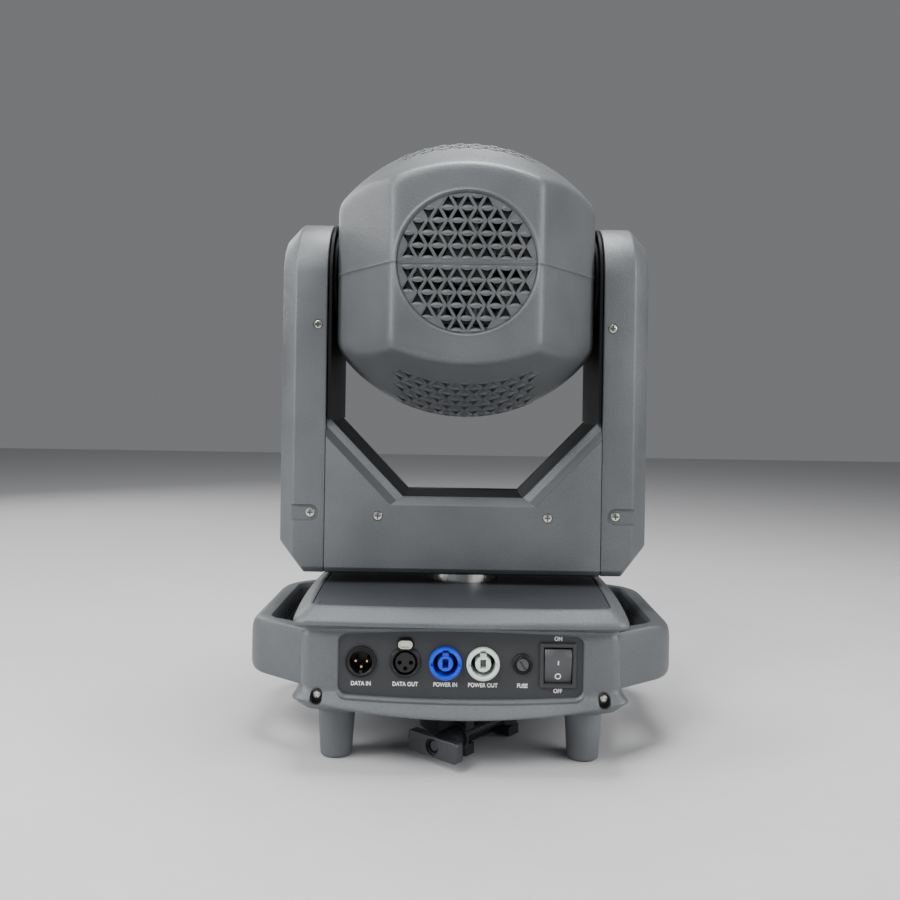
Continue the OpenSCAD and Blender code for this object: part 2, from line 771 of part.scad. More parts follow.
// Black sheet-metal crossbar: floor, raised top and flanges for the cover screws
module yoke_crossbar() {
  end_x = arm_in_x - 0.2;
  low = yoke_z;
  color([0.1, 0.1, 0.11]) difference() {
    union() {
      translate([-end_x, -flange_d, low]) cube([2 * end_x, 2 * flange_d, wall]);
      translate([0, 0, low]) cylinder(h = 15, r = boss_r);
      both_ends() translate([-105, -flange_d, low]) cube([210, 2.4, rim_z - 10.2 - low]);
      along_y(-crossbar_d, crossbar_d) polygon(mirrored([[rim_x, sheet_z], [end_x, sheet_z + (end_x - rim_x) * 62.2 / 60],
        [end_x, sheet_z - 3 + (end_x - rim_x) * 62.2 / 60], [rim_x + 1, sheet_z - sheet]]));
      both_sides() translate([end_x - 2.2, -crossbar_d, low]) cube([2.2, 2 * crossbar_d, 110]);
      translate([-end_x, -flange_d, shelf_z]) cube([end_x - 54, 2 * flange_d, 2]);
    }
    translate([0, 0, low - 1]) cylinder(h = 8, r = pan_tube_r + 2);
    translate([0, 0, bearing_z]) cylinder(h = 20, r = pan_bearing_r + 0.02);
    translate([-pan_motor_x, 0, shelf_z - 1]) cylinder(h = 5, r = 12);
    both_ends() crossbar_screw_holes();
    both_ends() notch_cut();
  }
}

// Keeps the sheet clear of the covers' sloping rims
module notch_cut() {
  along_y(-60, -crossbar_d) polygon(notch_points(notch_x - 2, crossbar_top_z - 4));
}

// Black inner side of an arm, with the tilt bearing's seat and flanges for its cover
module yoke_arm() {
  seat_x = arm_in_x + 3.4;
  color([0.1, 0.1, 0.11]) difference() {
    union() {
      intersection() {
        along_x(arm_in_x, arm_in_x + arm_plate) arm_side(0.3);
        translate([100, -60, yoke_z + wall + 0.5]) cube([60, 120, 400]);
      }
      both_ends() translate([arm_in_x, -flange_d, yoke_z + wall + 0.5]) cube([20, 2.4, 215]);
      translate([arm_in_x, 0, tilt_z]) rotate([0, 90, 0]) cylinder(h = 12.5, r = 26);
      translate([arm_in_x, -flange_d, yoke_z + wall + 0.5]) cube([20, 2 * flange_d, 2.5]);
    }
    translate([arm_in_x - 1, 0, tilt_z]) rotate([0, 90, 0]) cylinder(h = 30, r = tilt_shaft_r + 2);
    translate([seat_x, 0, tilt_z]) rotate([0, 90, 0]) cylinder(h = 30, r = tilt_bearing_r + 0.02);
    both_ends() arm_screw_holes();
    both_ends() translate([arm_in_x - 1, -60, yoke_z]) cube([cover_in_x - arm_in_x + 1.2, 60 - crossbar_d + 0.3, 128]);
    translate([arm_in_x - 1, -25, yoke_z + 30]) cube([6, 50, 24]);
  }
}

module yoke_arm_right() {
  yoke_arm();
}

module yoke_arm_left() {
  mirror([1, 0, 0]) yoke_arm();
}

module pan_bearing() {
  color("lightgray") translate([0, 0, bearing_z]) difference() {
    cylinder(h = 11.5, r = pan_bearing_r);
    translate([0, 0, -1]) cylinder(h = 20, r = pan_tube_r + run);
  }
}

module tilt_bearings() {
  color("lightgray") both_sides() translate([arm_in_x + 3.4, 0, tilt_z]) rotate([0, 90, 0]) difference() {
    cylinder(h = 9, r = tilt_bearing_r);
    translate([0, 0, -1]) cylinder(h = 20, r = tilt_shaft_r + run);
  }
}

// Flat stepper motor with its shaft end at z = 0 and its body below
module motor() {
  difference() {
    union() {
      translate([0, 0, -motor_h]) linear_extrude(motor_h) cut_rect(motor_w / 2, motor_w / 2, 4);
      cylinder(h = 1.8, r = 11);
    }
    translate([0, 0, -motor_h + 2]) cylinder(h = 40, r = motor_shaft_r + run);
  }
}

module motor_pulley(teeth, reach, h) {
  translate([0, 0, -motor_h + 3]) cylinder(h = motor_h - 3 + reach + h, r = motor_shaft_r);
  translate([0, 0, reach]) linear_extrude(h) gear_outline(teeth);
}

module pan_motor_frame() {
  translate([-pan_motor_x, 0, shelf_z + 2.1]) rotate([180, 0, 0]) children();
}

module pan_motor() {
  color([0.2, 0.2, 0.22]) pan_motor_frame() motor();
}

module pan_motor_pulley() {
  color("slategray") pan_motor_frame() motor_pulley(pan_motor_teeth, 3.2, 8);
}

module pan_belt() {
  color([0.08, 0.08, 0.08]) translate([0, 0, pulley_z + 1])
    belt(tip_r(pan_teeth), tip_r(pan_motor_teeth), -pan_motor_x);
}

// The tilt motor stands on the left arm's plate with its shaft outwards
module tilt_motor_frame() {
  translate([-arm_in_x - arm_plate - 0.1 - motor_h, 0, tilt_motor_z]) rotate([0, -90, 0]) children();
}

module tilt_motor() {
  color([0.2, 0.2, 0.22]) tilt_motor_frame() motor();
}

module tilt_motor_pulley() {
  color("slategray") tilt_motor_frame() motor_pulley(tilt_motor_teeth, 3.6, 8);
}

module tilt_belt() {
  color([0.08, 0.08, 0.08]) translate([-tilt_pulley_x - 0.6, 0, tilt_z]) rotate([0, -90, 0])
    belt(tip_r(tilt_teeth), tip_r(tilt_motor_teeth), -tilt_motor_drop);
}

module yoke_screws() {
  color("silver") both_ends() both_sides() {
    translate([crossbar_screw_x, -arm_half_d - 0.6, crossbar_screw_z]) rotate([90, 0, 0]) screw(3.5, 1.6, 1.6, 11);
    translate([arm_screw_x, -arm_half_d - 0.6, arm_screw_z]) rotate([90, 0, 0]) screw(3.5, 1.6, 1.6, 11);
    translate([pocket_x, -arm_half_d + pocket_deep - 1.6, pocket_z]) rotate([90, 0, 0]) screw(3.5, 1.6, 1.6, 9);
  }
}

// ---- head -----------------------------------------------------------------------------

module at_head() {
  translate([0, 0, tilt_z]) children();
}

// Outer form of the head about the tilt axis, drawn in by i
module head_form(i) {
  intersection() {
    translate([0, 0, -200]) linear_extrude(400) polygon(mirrored([[56.5 - i * 0.5, -head_rear_y + i],
      [head_half_w - i, -39 + i * 0.5], [head_half_w - i, 42], [84 - i, head_front_y - 8],
      [78 - i, head_front_y - i]]));
    along_x(-200, 200) polygon([[-head_rear_y + i, -63.75 + i * 0.5], [-28 + i * 0.5, -head_half_h + i],
      [42, -head_half_h + i], [head_front_y - 8, -88 + i], [head_front_y - i, -80 + i],
      [head_front_y - i, 80 - i], [head_front_y - 8, 88 - i], [42, head_half_h - i], [-28 + i * 0.5, head_half_h - i], [-head_rear_y + i, 63.75 - i * 0.5]]);
    intersection_for(up = [-1, 1]) translate([0, 0, -up * crown_drop]) rotate([90, 0, 0])
      cylinder(h = 400, r = head_crown_r - i, center = true);
    intersection_for(side = [0, 1]) intersection_for(up = [0, 1])
      mirror([side, 0, 0]) mirror([0, 0, up]) inside_corner(i);
  }
}

// Everything inside the sloping plane that cuts the head's rear corner, as a large block
module inside_corner(i) {
  rotate([0, 0, corner_turn]) rotate([0, corner_lean, 0]) translate([-400, -400, -400])
    cube([800, 800, 400 + corner_reach - i]);
}

// Triangular lattice of holes: alternate triangles in rows, kept where inside(p) is near enough
module lattice(rows, first, pitch, height, strap, reach) {
  for (row = [0:rows - 1], k = [-14:14]) {
    x = k * pitch / 2;
    z = first + row * height;
    up = (k + row) % 2 == 0;
    low = z + strap / 2;
    high = z + height - strap / 2;
    half = pitch / 2 - strap;
    if (norm([abs(x) + half, high]) < reach) {
      polygon(up ? [[x - half, low], [x + half, low], [x, high]] : [[x - half, high], [x + half, high], [x, low]]);
    }
  }
}

module rear_holes() {
  along_y(-head_rear_y - 5, -head_rear_y + wall + 2) lattice(5, 3.2, 14.8, 9.6, 2.4, grille_r + 2);
}

module top_holes() {
  translate([0, 8, 60]) linear_extrude(80) for (row = [-3:2], k = [-6:6]) {
    up = (k + row) % 2 == 0;
    polygon(up ? [[k * 6 - 4.6, row * 10 + 1], [k * 6 + 4.6, row * 10 + 1], [k * 6, row * 10 + 9]]
      : [[k * 6 - 4.6, row * 10 + 9], [k * 6 + 4.6, row * 10 + 9], [k * 6, row * 10 + 1]]);
  }
}

module head_shell_upper() {
  color("gray") at_head() difference() {
    head_form(0);
    head_form(wall);
    translate([-200, -200, -400 + seam]) cube([400, 400, 400]);
    rotate([0, 90, 0]) cylinder(h = 400, r = hub_neck_r + 0.6, center = true);
    rotate([-90, 0, 0]) cylinder(h = 300, r = lens_r + 1);
    rear_holes();
    top_holes();
  }
}

module head_shell_lower() {
  translate([0, 0, 2 * tilt_z]) mirror([0, 0, 1]) head_shell_upper();
}

chassis_x = 88;

module head_chassis() {
  color("silver") at_head() difference() {
    union() {
      both_sides() translate([chassis_x - 2.5, -48, -60]) cube([2.5, 96, 105]);
      translate([-chassis_x, -48, -60]) cube([2 * chassis_x, 138, 2.5]);
      translate([-78, 89, -60]) cube([156, 18.5, 2.5]);
      translate([-78, 105, -60]) cube([156, 2.5, 105]);
      translate([-chassis_x, -20.5, -60]) cube([2 * chassis_x, 2.5, 106]);
      both_sides() translate([rod_x, -19, rod_z]) rotate([-90, 0, 0]) cylinder(h = 125, r = rod_r);
    }
    translate([0, 100, 0]) rotate([-90, 0, 0]) cylinder(h = 20, r = 48);
    translate([0, -30, 0]) rotate([-90, 0, 0]) cylinder(h = 20, r = 12);
    for (x = [-wheel_offset, wheel_offset]) translate([x, -30, 0]) rotate([-90, 0, 0])
      cylinder(h = 20, r = 4 + run);
  }
}

module tilt_hub(reach) {
  rotate([0, 90, 0]) rotate_extrude() polygon([[9, chassis_x + 0.1], [34, chassis_x + 0.1],
    [34, chassis_x + 4], [hub_neck_r, chassis_x + 6], [hub_neck_r, head_half_w + 0.3],
    [hub_disc_r, head_half_w + 0.3], [hub_disc_r, arm_in_x - 0.6], [tilt_shaft_r + 1.5, arm_in_x - 0.6],
    [tilt_shaft_r, arm_in_x], [tilt_shaft_r, reach], [9, reach]]);
}

module tilt_hubs() {
  color([0.1, 0.1, 0.1]) at_head() {
    tilt_hub(128);
    mirror([1, 0, 0]) tilt_hub(145.5);
    mirror([1, 0, 0]) translate([tilt_pulley_x, 0, 0]) rotate([0, 90, 0]) linear_extrude(8) difference() {
      gear_outline(tilt_teeth);
      circle(12);
    }
  }
}

module led_heatsink() {
  color("lightgray") at_head() {
    translate([-chassis_x + 3, -46, -42]) cube([2 * chassis_x - 6, 5, 84]);
    for (i = [-6:6]) translate([7.2 * i - 1, -86, -44]) cube([2, 41, 88]);
    translate([0, -41.5, 0]) rotate([-90, 0, 0]) cylinder(h = 6, r = 20);
  }
}

fan_y = -head_rear_y + wall + 0.6;

module fan_frame() {
  color([0.06, 0.06, 0.07]) at_head() translate([0, fan_y, 0]) rotate([-90, 0, 0]) difference() {
    union() {
      difference() {
        linear_extrude(25) cut_rect(46, 46, 4);
        translate([0, 0, -1]) cylinder(h = 30, r = 43.6);
      }
      for (a = [45:90:315]) rotate([0, 0, a]) translate([14, -2, 0]) cube([32, 4, 3]);
      cylinder(h = 3, r = 18);
      cylinder(h = 14, r = 5);
    }
    translate([0, 0, 2]) cylinder(h = 20, r = 2 + run, $fn = 32);
  }
}

module fan_rotor() {
  color([0.09, 0.09, 0.1]) at_head() translate([0, fan_y, 0]) rotate([-90, 0, 0]) {
    difference() {
      translate([0, 0, 4]) cylinder(h = 18, r = 17.5);
      translate([0, 0, 3]) cylinder(h = 13, r = 15);
    }
    translate([0, 0, 2.5]) cylinder(h = 15, r = 2, $fn = 32);
    for (i = [0:6]) rotate([0, 0, i * 360 / 7]) translate([16, 0, 12.5]) rotate([38, 0, 0])
      translate([0, -9, -0.8]) cube([25, 18, 1.6]);
  }
}

// Filter wheel on a stub axle, with a ring of eight windows
module filter_wheel(x, y) {
  at_head() translate([x, y, 0]) rotate([-90, 0, 0]) difference() {
    cylinder(h = 1.5, r = wheel_r);
    for (i = [0:7]) rotate([0, 0, 45 * i]) translate([wheel_offset, 0, -1]) cylinder(h = 4, r = 9, $fn = 48);
  }
}

module colour_wheel() {
  color("gold") filter_wheel(-wheel_offset, -27);
  color("gold") at_head() translate([-wheel_offset, -26, 0]) rotate([-90, 0, 0]) cylinder(h = 8.5, r = 4);
}

module gobo_wheel() {
  color("gold") filter_wheel(wheel_offset, -13);
  color("gold") at_head() translate([wheel_offset, -21, 0]) rotate([-90, 0, 0]) cylinder(h = 8.5, r = 4);
}

module focus_carriage() {
  color("gray") at_head() difference() {
    union() {
      translate([0, 30, 0]) rotate([-90, 0, 0]) cylinder(h = 12, r = 42);
      translate([-rod_x - 8, 30, rod_z - 8]) cube([2 * rod_x + 16, 12, 16]);
    }
    translate([0, 29, 0]) rotate([-90, 0, 0]) cylinder(h = 30, r = 33);
    both_sides() translate([rod_x, 20, rod_z]) rotate([-90, 0, 0]) cylinder(h = 40, r = rod_r + run);
  }
}

// Domed lens held in a ring at the front of the head
module front_lens() {
  dome_r = 150;
  steps = 8;
  half = asin(60 / dome_r);
  y0 = head_front_y - 15;
  color([0.6, 0.7, 0.8]) at_head() translate([0, y0, 0]) rotate([-90, 0, 0]) rotate_extrude()
    polygon(concat([[0, 0], [lens_r, 0], [lens_r, 12], [60, 12]],
      [for (i = [1:steps]) let (a = half * (1 - i / steps))
        [dome_r * sin(a), 12 + dome_r * (cos(a) - cos(half))]]));
}

feet();
base_bottom();
base_cover();
deck_plate();
connector_panel();
handle_left();
handle_right();
base_screws();
data_in_socket();
data_out_socket();
data_out_latch();
power_in_socket();
power_out_socket();
fuse_holder();
fuse_cap();
switch_frame();
switch_rocker();
display();
menu_button(0);  // menu_button_1
menu_button(1);  // menu_button_2
menu_button(2);  // menu_button_3
menu_button(3);  // menu_button_4
power_supply();
pan_tube();
pan_pulley();
bracket_lugs();
hanging_bracket();
clamp_base();
clamp_jaw();
clamp_hinge_pin();
clamp_bolt();
clamp_washer();
wing_nut();
yoke_crossbar();
yoke_arm_left();
yoke_arm_right();
crossbar_cover_rear();
crossbar_cover_front();
arm_cover_left();
arm_cover_right();
pan_bearing();
tilt_bearings();
pan_motor();
pan_motor_pulley();
pan_belt();
tilt_motor();
tilt_motor_pulley();
tilt_belt();
yoke_screws();
head_shell_upper();
head_shell_lower();
head_chassis();
tilt_hubs();
led_heatsink();
fan_frame();
fan_rotor();
colour_wheel();
gobo_wheel();
focus_carriage();
front_lens();
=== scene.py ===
import json
import math
import bmesh
import bpy
import numpy as np
from mathutils import Matrix, Vector


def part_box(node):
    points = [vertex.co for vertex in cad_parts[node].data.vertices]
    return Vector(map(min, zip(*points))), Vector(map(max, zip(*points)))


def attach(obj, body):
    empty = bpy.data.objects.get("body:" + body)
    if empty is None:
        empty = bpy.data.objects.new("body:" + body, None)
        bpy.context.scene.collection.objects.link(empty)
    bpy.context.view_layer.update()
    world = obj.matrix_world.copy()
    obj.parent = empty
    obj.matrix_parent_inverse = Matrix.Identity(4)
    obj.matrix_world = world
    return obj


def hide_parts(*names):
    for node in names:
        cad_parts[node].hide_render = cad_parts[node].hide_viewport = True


# The looks of a moving head light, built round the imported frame. Lengths here are in
# millimetres and are turned into metres where a mesh is made.
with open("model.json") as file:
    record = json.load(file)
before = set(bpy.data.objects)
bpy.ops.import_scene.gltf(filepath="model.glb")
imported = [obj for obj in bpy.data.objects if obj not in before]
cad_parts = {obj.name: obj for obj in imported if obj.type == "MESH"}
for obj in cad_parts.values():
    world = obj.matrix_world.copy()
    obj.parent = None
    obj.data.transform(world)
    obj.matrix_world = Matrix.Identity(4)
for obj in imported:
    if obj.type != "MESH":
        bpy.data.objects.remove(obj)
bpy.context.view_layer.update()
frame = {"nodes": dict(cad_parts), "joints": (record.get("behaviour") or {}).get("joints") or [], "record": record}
MM = 0.001

# ---- dimensions worked out from the frame ------------------------------------------------


def box_mm(node):
    """Lowest and highest corner of a node, in millimetres."""
    low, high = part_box(node)
    return [v / MM for v in low], [v / MM for v in high]


JOINTS = {j["name"]: j for j in frame["joints"]}
TILT_Z = JOINTS["tilt"]["pos_m"][2] / MM
HEAD_LOW, HEAD_HIGH = box_mm("head_shell_upper")
HEAD_W = HEAD_HIGH[0]
HEAD_REAR = -HEAD_LOW[1]
HEAD_FRONT = HEAD_HIGH[1]
HEAD_TOP = HEAD_HIGH[2] - TILT_Z
ARM_LOW, ARM_HIGH = box_mm("arm_cover_right")
ARM_IN, ARM_OUT = ARM_LOW[0], ARM_HIGH[0]
ARM_D = ARM_HIGH[1]
YOKE_Z = ARM_LOW[2]
HANDLE_OUT = box_mm("handle_right")[1][0]
FOOT_HIGH = box_mm("feet")[1]
PANEL_Y = box_mm("connector_panel")[0][1]


def middle(node):
    """Centre of a node's box."""
    low, high = box_mm(node)
    return [(a + b) / 2 for a, b in zip(low, high)]


# ---- materials ----------------------------------------------------------------------------

PATCH_SCALE = 14.0            # broad patches of shade and gloss
ROUGH_SPREAD = 0.1


def fill_inputs(tree, node, values):
    """Sets a node's inputs: an output of another node is linked, and a plain value is written."""
    for socket, value in values.items():
        if isinstance(value, bpy.types.NodeSocket):
            tree.links.new(value, node.inputs[socket])
        else:
            node.inputs[socket].default_value = value


def add_node(tree, kind, values, operation=None):
    node = tree.nodes.new("ShaderNode" + kind)
    if operation:
        node.operation = operation
    fill_inputs(tree, node, values)
    return node


def material(name, color, rough, metal=0.0, grain=900.0, bump=0.15, vary=0.12, depth=0.0002,
             stretch=(1, 1, 1), coat=0.0, shine=0.5):
    """A finish with fine grain in its bump, uneven roughness and slight changes of shade."""
    mat = bpy.data.materials.new(name)
    mat.use_nodes = True
    tree = mat.node_tree
    spot = add_node(tree, "TexCoord", {}).outputs["Object"]
    mapping = add_node(tree, "Mapping", {"Vector": spot, "Scale": stretch})
    fine = add_node(tree, "TexNoise", {"Vector": mapping.outputs["Vector"], "Scale": grain, "Detail": 3.0})
    broad = add_node(tree, "TexNoise", {"Vector": spot, "Scale": PATCH_SCALE, "Detail": 4.0})
    both = add_node(tree, "Math", {0: fine.outputs["Fac"], 1: broad.outputs["Fac"]}, "MULTIPLY")
    shade = add_node(tree, "MapRange", {"Value": both.outputs[0], "From Min": 0.1, "From Max": 0.4,
                                        "To Min": 1.0 - vary, "To Max": 1.0 + vary})
    tint = add_node(tree, "VectorMath", {0: color, "Scale": shade.outputs["Result"]}, "SCALE")
    gloss = add_node(tree, "MapRange", {"Value": broad.outputs["Fac"],
                                        "To Min": max(rough - ROUGH_SPREAD, 0.02),
                                        "To Max": min(rough + ROUGH_SPREAD, 1.0)})
    bumps = add_node(tree, "Bump", {"Height": fine.outputs["Fac"], "Strength": bump, "Distance": depth})
    fill_inputs(tree, tree.nodes["Principled BSDF"], {
        "Base Color": tint.outputs["Vector"], "Roughness": gloss.outputs["Result"],
        "Normal": bumps.outputs["Normal"], "Metallic": metal, "Coat Weight": coat,
        "Specular IOR Level": shine})
    return mat


def glass(name, color, rough):
    """Clear glass with the same fine grain."""
    mat = material(name, color, rough, grain=300.0, bump=0.02, vary=0.03)
    shader = mat.node_tree.nodes["Principled BSDF"]
    shader.inputs["Transmission Weight"].default_value = 1.0
    shader.inputs["IOR"].default_value = 1.5
    return mat


MATS = {
    "body_grey": material("body_grey", (0.105, 0.113, 0.118), 0.44, metal=0.3, grain=1100, bump=0.7,
                          vary=0.22, depth=0.0004),
    "foot_grey": material("foot_grey", (0.11, 0.118, 0.125), 0.6, grain=1300, bump=0.45),
    "black_steel": material("black_steel", (0.005, 0.0055, 0.007), 0.5, grain=1800, bump=0.35, shine=0.14),
    "panel_grey": material("panel_grey", (0.026, 0.027, 0.03), 0.5, grain=2200, bump=0.6, vary=0.2),
    "bare_aluminium": material("bare_aluminium", (0.85, 0.87, 0.83), 0.28, metal=1.0, grain=300,
                               bump=0.3, vary=0.25, stretch=(6, 6, 0.2)),
    "clamp_metal": material("clamp_metal", (0.05, 0.053, 0.058), 0.36, metal=0.6, grain=700, bump=0.3,
                            vary=0.25),
    "screw_steel": material("screw_steel", (0.7, 0.69, 0.64), 0.28, metal=1.0, grain=900, bump=0.2),
    "black_plastic": material("black_plastic", (0.007, 0.007, 0.008), 0.4, grain=1500, bump=0.25,
                              shine=0.4),
    "blue_plastic": material("blue_plastic", (0.003, 0.048, 0.66), 0.3, grain=900, bump=0.12, vary=0.08),
    "white_plastic": material("white_plastic", (0.68, 0.76, 0.71), 0.32, grain=900, bump=0.12,
                              vary=0.05),
    "bright_metal": material("bright_metal", (0.6, 0.59, 0.52), 0.2, metal=1.0, grain=700, bump=0.1),
    "belt_rubber": material("belt_rubber", (0.012, 0.012, 0.012), 0.7, grain=1200, bump=0.5),
    "filter_glass": material("filter_glass", (0.5, 0.36, 0.1), 0.2, metal=0.7, grain=200, bump=0.05),
    "lens_glass": glass("lens_glass", (0.9, 0.95, 0.97), 0.05),
}
GOLD = material("gold_pin", (0.8, 0.55, 0.2), 0.22, metal=1.0, grain=900, bump=0.1)
PRINT = material("panel_print", (0.88, 0.88, 0.87), 0.5, grain=1800, bump=0.1, vary=0.04)
SCREEN = material("screen_glass", (0.01, 0.03, 0.09), 0.08, grain=300, bump=0.02, coat=1.0)
GREY_PLASTIC = material("switch_grey", (0.06, 0.062, 0.066), 0.4, grain=1500, bump=0.25)
BEZEL = material("bezel_grey", (0.028, 0.029, 0.032), 0.45, grain=1500, bump=0.3)
DECK_PAINT = material("deck_paint", (0.049, 0.053, 0.06), 0.42, metal=0.2, grain=1500, bump=0.45,
                      vary=0.15)

# ---- mesh tools ---------------------------------------------------------------------------


class Shape:
    """Closed forms in millimetres, gathered into one mesh.

    mark is the number of the material for what is added next.
    """

    def __init__(self):
        self.verts = []
        self.faces = []
        self.marks = []
        self.mark = 0

    def add(self, verts, faces, place=Matrix()):
        start = len(self.verts)
        self.verts += [tuple(place @ Vector(v)) for v in verts]
        self.faces += [tuple(start + i for i in face) for face in faces]
        self.marks += [self.mark] * len(faces)
        return self

    def loops(self, loops, place=Matrix(), ring=False):
        """Skins loops that have equal numbers of points. The ends are closed, or joined in a ring."""
        count, n = len(loops), len(loops[0])
        faces = []
        for j in range(count if ring else count - 1):
            a, b = j * n, (j + 1) % count * n
            for i in range(n):
                k = (i + 1) % n
                faces.append((a + i, a + k, b + k, b + i))
        if not ring:
            faces.append(tuple(range(n))[::-1])
            faces.append(tuple(range((count - 1) * n, count * n)))
        return self.add([p for loop in loops for p in loop], faces, place)

    def prism(self, outline, low, high, place=Matrix()):
        return self.loops([[(x, y, z) for x, y in outline] for z in (low, high)], place)

    def lathe(self, profile, place=Matrix(), steps=64, ring=False):
        """Turns (radius, height) points about Z."""
        turns = [2 * math.pi * i / steps for i in range(steps)]
        rows = [[(r * math.cos(a), r * math.sin(a), z) for a in turns] for r, z in profile]
        return self.loops(rows, place, ring)

    def box(self, low, high, place=Matrix()):
        (x0, y0, z0), (x1, y1, z1) = low, high
        return self.prism([(x0, y0), (x1, y0), (x1, y1), (x0, y1)], z0, z1, place)

    def sheet(self, outer, inner):
        """A curved wall between two grids of points."""
        rows, n = len(outer), len(outer[0])
        verts = [p for row in outer for p in row] + [p for row in inner for p in row]
        half = rows * n
        faces = []
        for j in range(rows - 1):
            for i in range(n - 1):
                a, b = j * n + i, (j + 1) * n + i
                faces.append((a, a + 1, b + 1, b))
                faces.append((half + b, half + b + 1, half + a + 1, half + a))
        edge = [j * n for j in range(rows)] + [(rows - 1) * n + i for i in range(1, n)]
        edge += [j * n + n - 1 for j in range(rows - 2, -1, -1)] + list(range(n - 2, 0, -1))
        for a, b in zip(edge, edge[1:] + edge[:1]):
            faces.append((b, a, a + half, b + half))
        return self.add(verts, faces)


def to_object(name, shape, mats=()):
    """Makes a shape into an object with clean normals."""
    mesh = bpy.data.meshes.new(name)
    mesh.from_pydata([(x * MM, y * MM, z * MM) for x, y, z in shape.verts], [], shape.faces)
    for mat in mats:
        mesh.materials.append(mat)
    mesh.polygons.foreach_set("material_index", shape.marks)
    work = bmesh.new()
    work.from_mesh(mesh)
    bmesh.ops.remove_doubles(work, verts=work.verts, dist=1e-6)
    bmesh.ops.recalc_face_normals(work, faces=work.faces)
    work.to_mesh(mesh)
    work.free()
    obj = bpy.data.objects.new(name, mesh)
    bpy.context.scene.collection.objects.link(obj)
    return obj


def apply(obj):
    """Turns an object's modifiers into mesh."""
    graph = bpy.context.evaluated_depsgraph_get()
    mesh = bpy.data.meshes.new_from_object(obj.evaluated_get(graph))
    obj.modifiers.clear()
    obj.data = mesh


def soften(obj, width, segments=2, angle=30):
    """Rounds every edge that turns by more than the angle."""
    mod = obj.modifiers.new("soften", "BEVEL")
    mod.width = width * MM
    mod.segments = segments
    mod.limit_method = "ANGLE"
    mod.angle_limit = math.radians(angle)
    mod.use_clamp_overlap = True
    apply(obj)


def combine(obj, shape, operation="DIFFERENCE"):
    """Cuts a shape out of an object, or joins it on."""
    tool = to_object("tool", shape)
    mod = obj.modifiers.new("combine", "BOOLEAN")
    mod.operation = operation
    mod.object = tool
    mod.solver = "MANIFOLD"
    apply(obj)
    bpy.data.objects.remove(tool)


def finish_piece(obj, body, nodes, smooth=35):
    """Shades a piece, ties it to its body and hides the CAD nodes that it stands for."""
    obj.data.shade_smooth()
    obj.data.set_sharp_from_angle(angle=math.radians(smooth))
    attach(obj, body)
    if nodes:
        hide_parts(*nodes)


def piece(name, shape, body, nodes, slot, bevel=0.0, mats=None, smooth=35):
    """A finished piece straight from a shape."""
    obj = to_object(name, shape, mats or (MATS[slot],))
    if bevel:
        soften(obj, bevel)
    finish_piece(obj, body, nodes, smooth)


def rounded(w, d, r, side=1, arc=6):
    """Outline of a rectangle of half size w by d with round corners. side cuts each side into parts."""
    points = []
    corners = [(1, 1, 0), (-1, 1, 90), (-1, -1, 180), (1, -1, 270)]
    for k, (sx, sy, start) in enumerate(corners):
        for i in range(arc + 1):
            a = math.radians(start + 90 * i / arc)
            points.append((sx * (w - r) + r * math.cos(a), sy * (d - r) + r * math.sin(a)))
        nx, ny, turn = corners[(k + 1) % 4]
        a = math.radians(turn)
        x0, y0 = points[-1]
        x1, y1 = nx * (w - r) + r * math.cos(a), ny * (d - r) + r * math.sin(a)
        points += [(x0 + (x1 - x0) * i / side, y0 + (y1 - y0) * i / side) for i in range(1, side)]
    return points


def circle(r, steps=32, x=0.0, y=0.0):
    """Outline of a circle about (x, y)."""
    turns = [2 * math.pi * i / steps for i in range(steps)]
    return [(x + r * math.cos(a), y + r * math.sin(a)) for a in turns]


FACE_REAR = Matrix.Rotation(math.radians(90), 4, "X")     # local Y up, local Z towards -Y
FACE_FRONT = Matrix.Rotation(math.radians(-90), 4, "X")   # local Y down, local Z towards +Y
MIRROR_X = Matrix.Diagonal((-1, 1, 1, 1))
MIRROR_Y = Matrix.Diagonal((1, -1, 1, 1))
MIRROR_Z = Matrix.Diagonal((1, 1, -1, 1))
ENDS = (Matrix(), MIRROR_Y)   # the rear, and its mirror image at the front


def facing(x, y, z, end=Matrix()):
    """A frame at (x, y, z) that faces to the rear, or its mirror image at the front."""
    return end @ Matrix.Translation((x, y, z)) @ FACE_REAR


# ---- head ---------------------------------------------------------------------------------

CROWN_R = 137.0
CROWN_DROP = CROWN_R - HEAD_TOP
REAR_FACE_TOP = 75.5          # height of the flat rear face in the middle
FRONT_TOP = 88.0
CROWN_REAR, CROWN_FRONT = -28.0, 42.0   # between these the crown runs level
REAR_SIDE = (56.5, -39.0)     # half width of the rear face, and where its side facets meet the flanks
FRONT_SIDE = (84.0, 78.0)     # half widths where the flanks turn in and at the front face
FRONT_CHAMFER = 8.0
ROUNDNESS = 78                # power of the blend: more makes sharper edges
GRILLE_R = 52.5
OPENING_R = GRILLE_R + 0.7
LENS_OPENING = 66.5
HUB_HOLE_R = 24.8
SHELL_T = 2.6
SEAM_GAP = 0.04
# The bead round the rear opening, as (distance from it, height), and the one along the seam, as
# (degrees from it, height)
OPENING_BEAD = ((0, -1.8), (0.1, -1.3), (1.3, 0.2), (1.7, 0.5), (2.2, 0.35), (2.7, 0.0))
SEAM_BEAD = ((0.0, 0.1), (0.12, 0.5), (0.45, 0.5), (0.75, 0.1), (1.1, 0.0))
STEPS_ALONG, STEPS_ACROSS = 104, 100
# Furthest triangle each way, row by row, and where the first row starts
GRILLE_ROWS, GRILLE_START = (6, 6, 5, 4, 2), 3.2
TOP_ROWS, TOP_START = (7,) * 9, -58.5
BOTTOM_ROWS, BOTTOM_START = (7,) * 12, -88.0


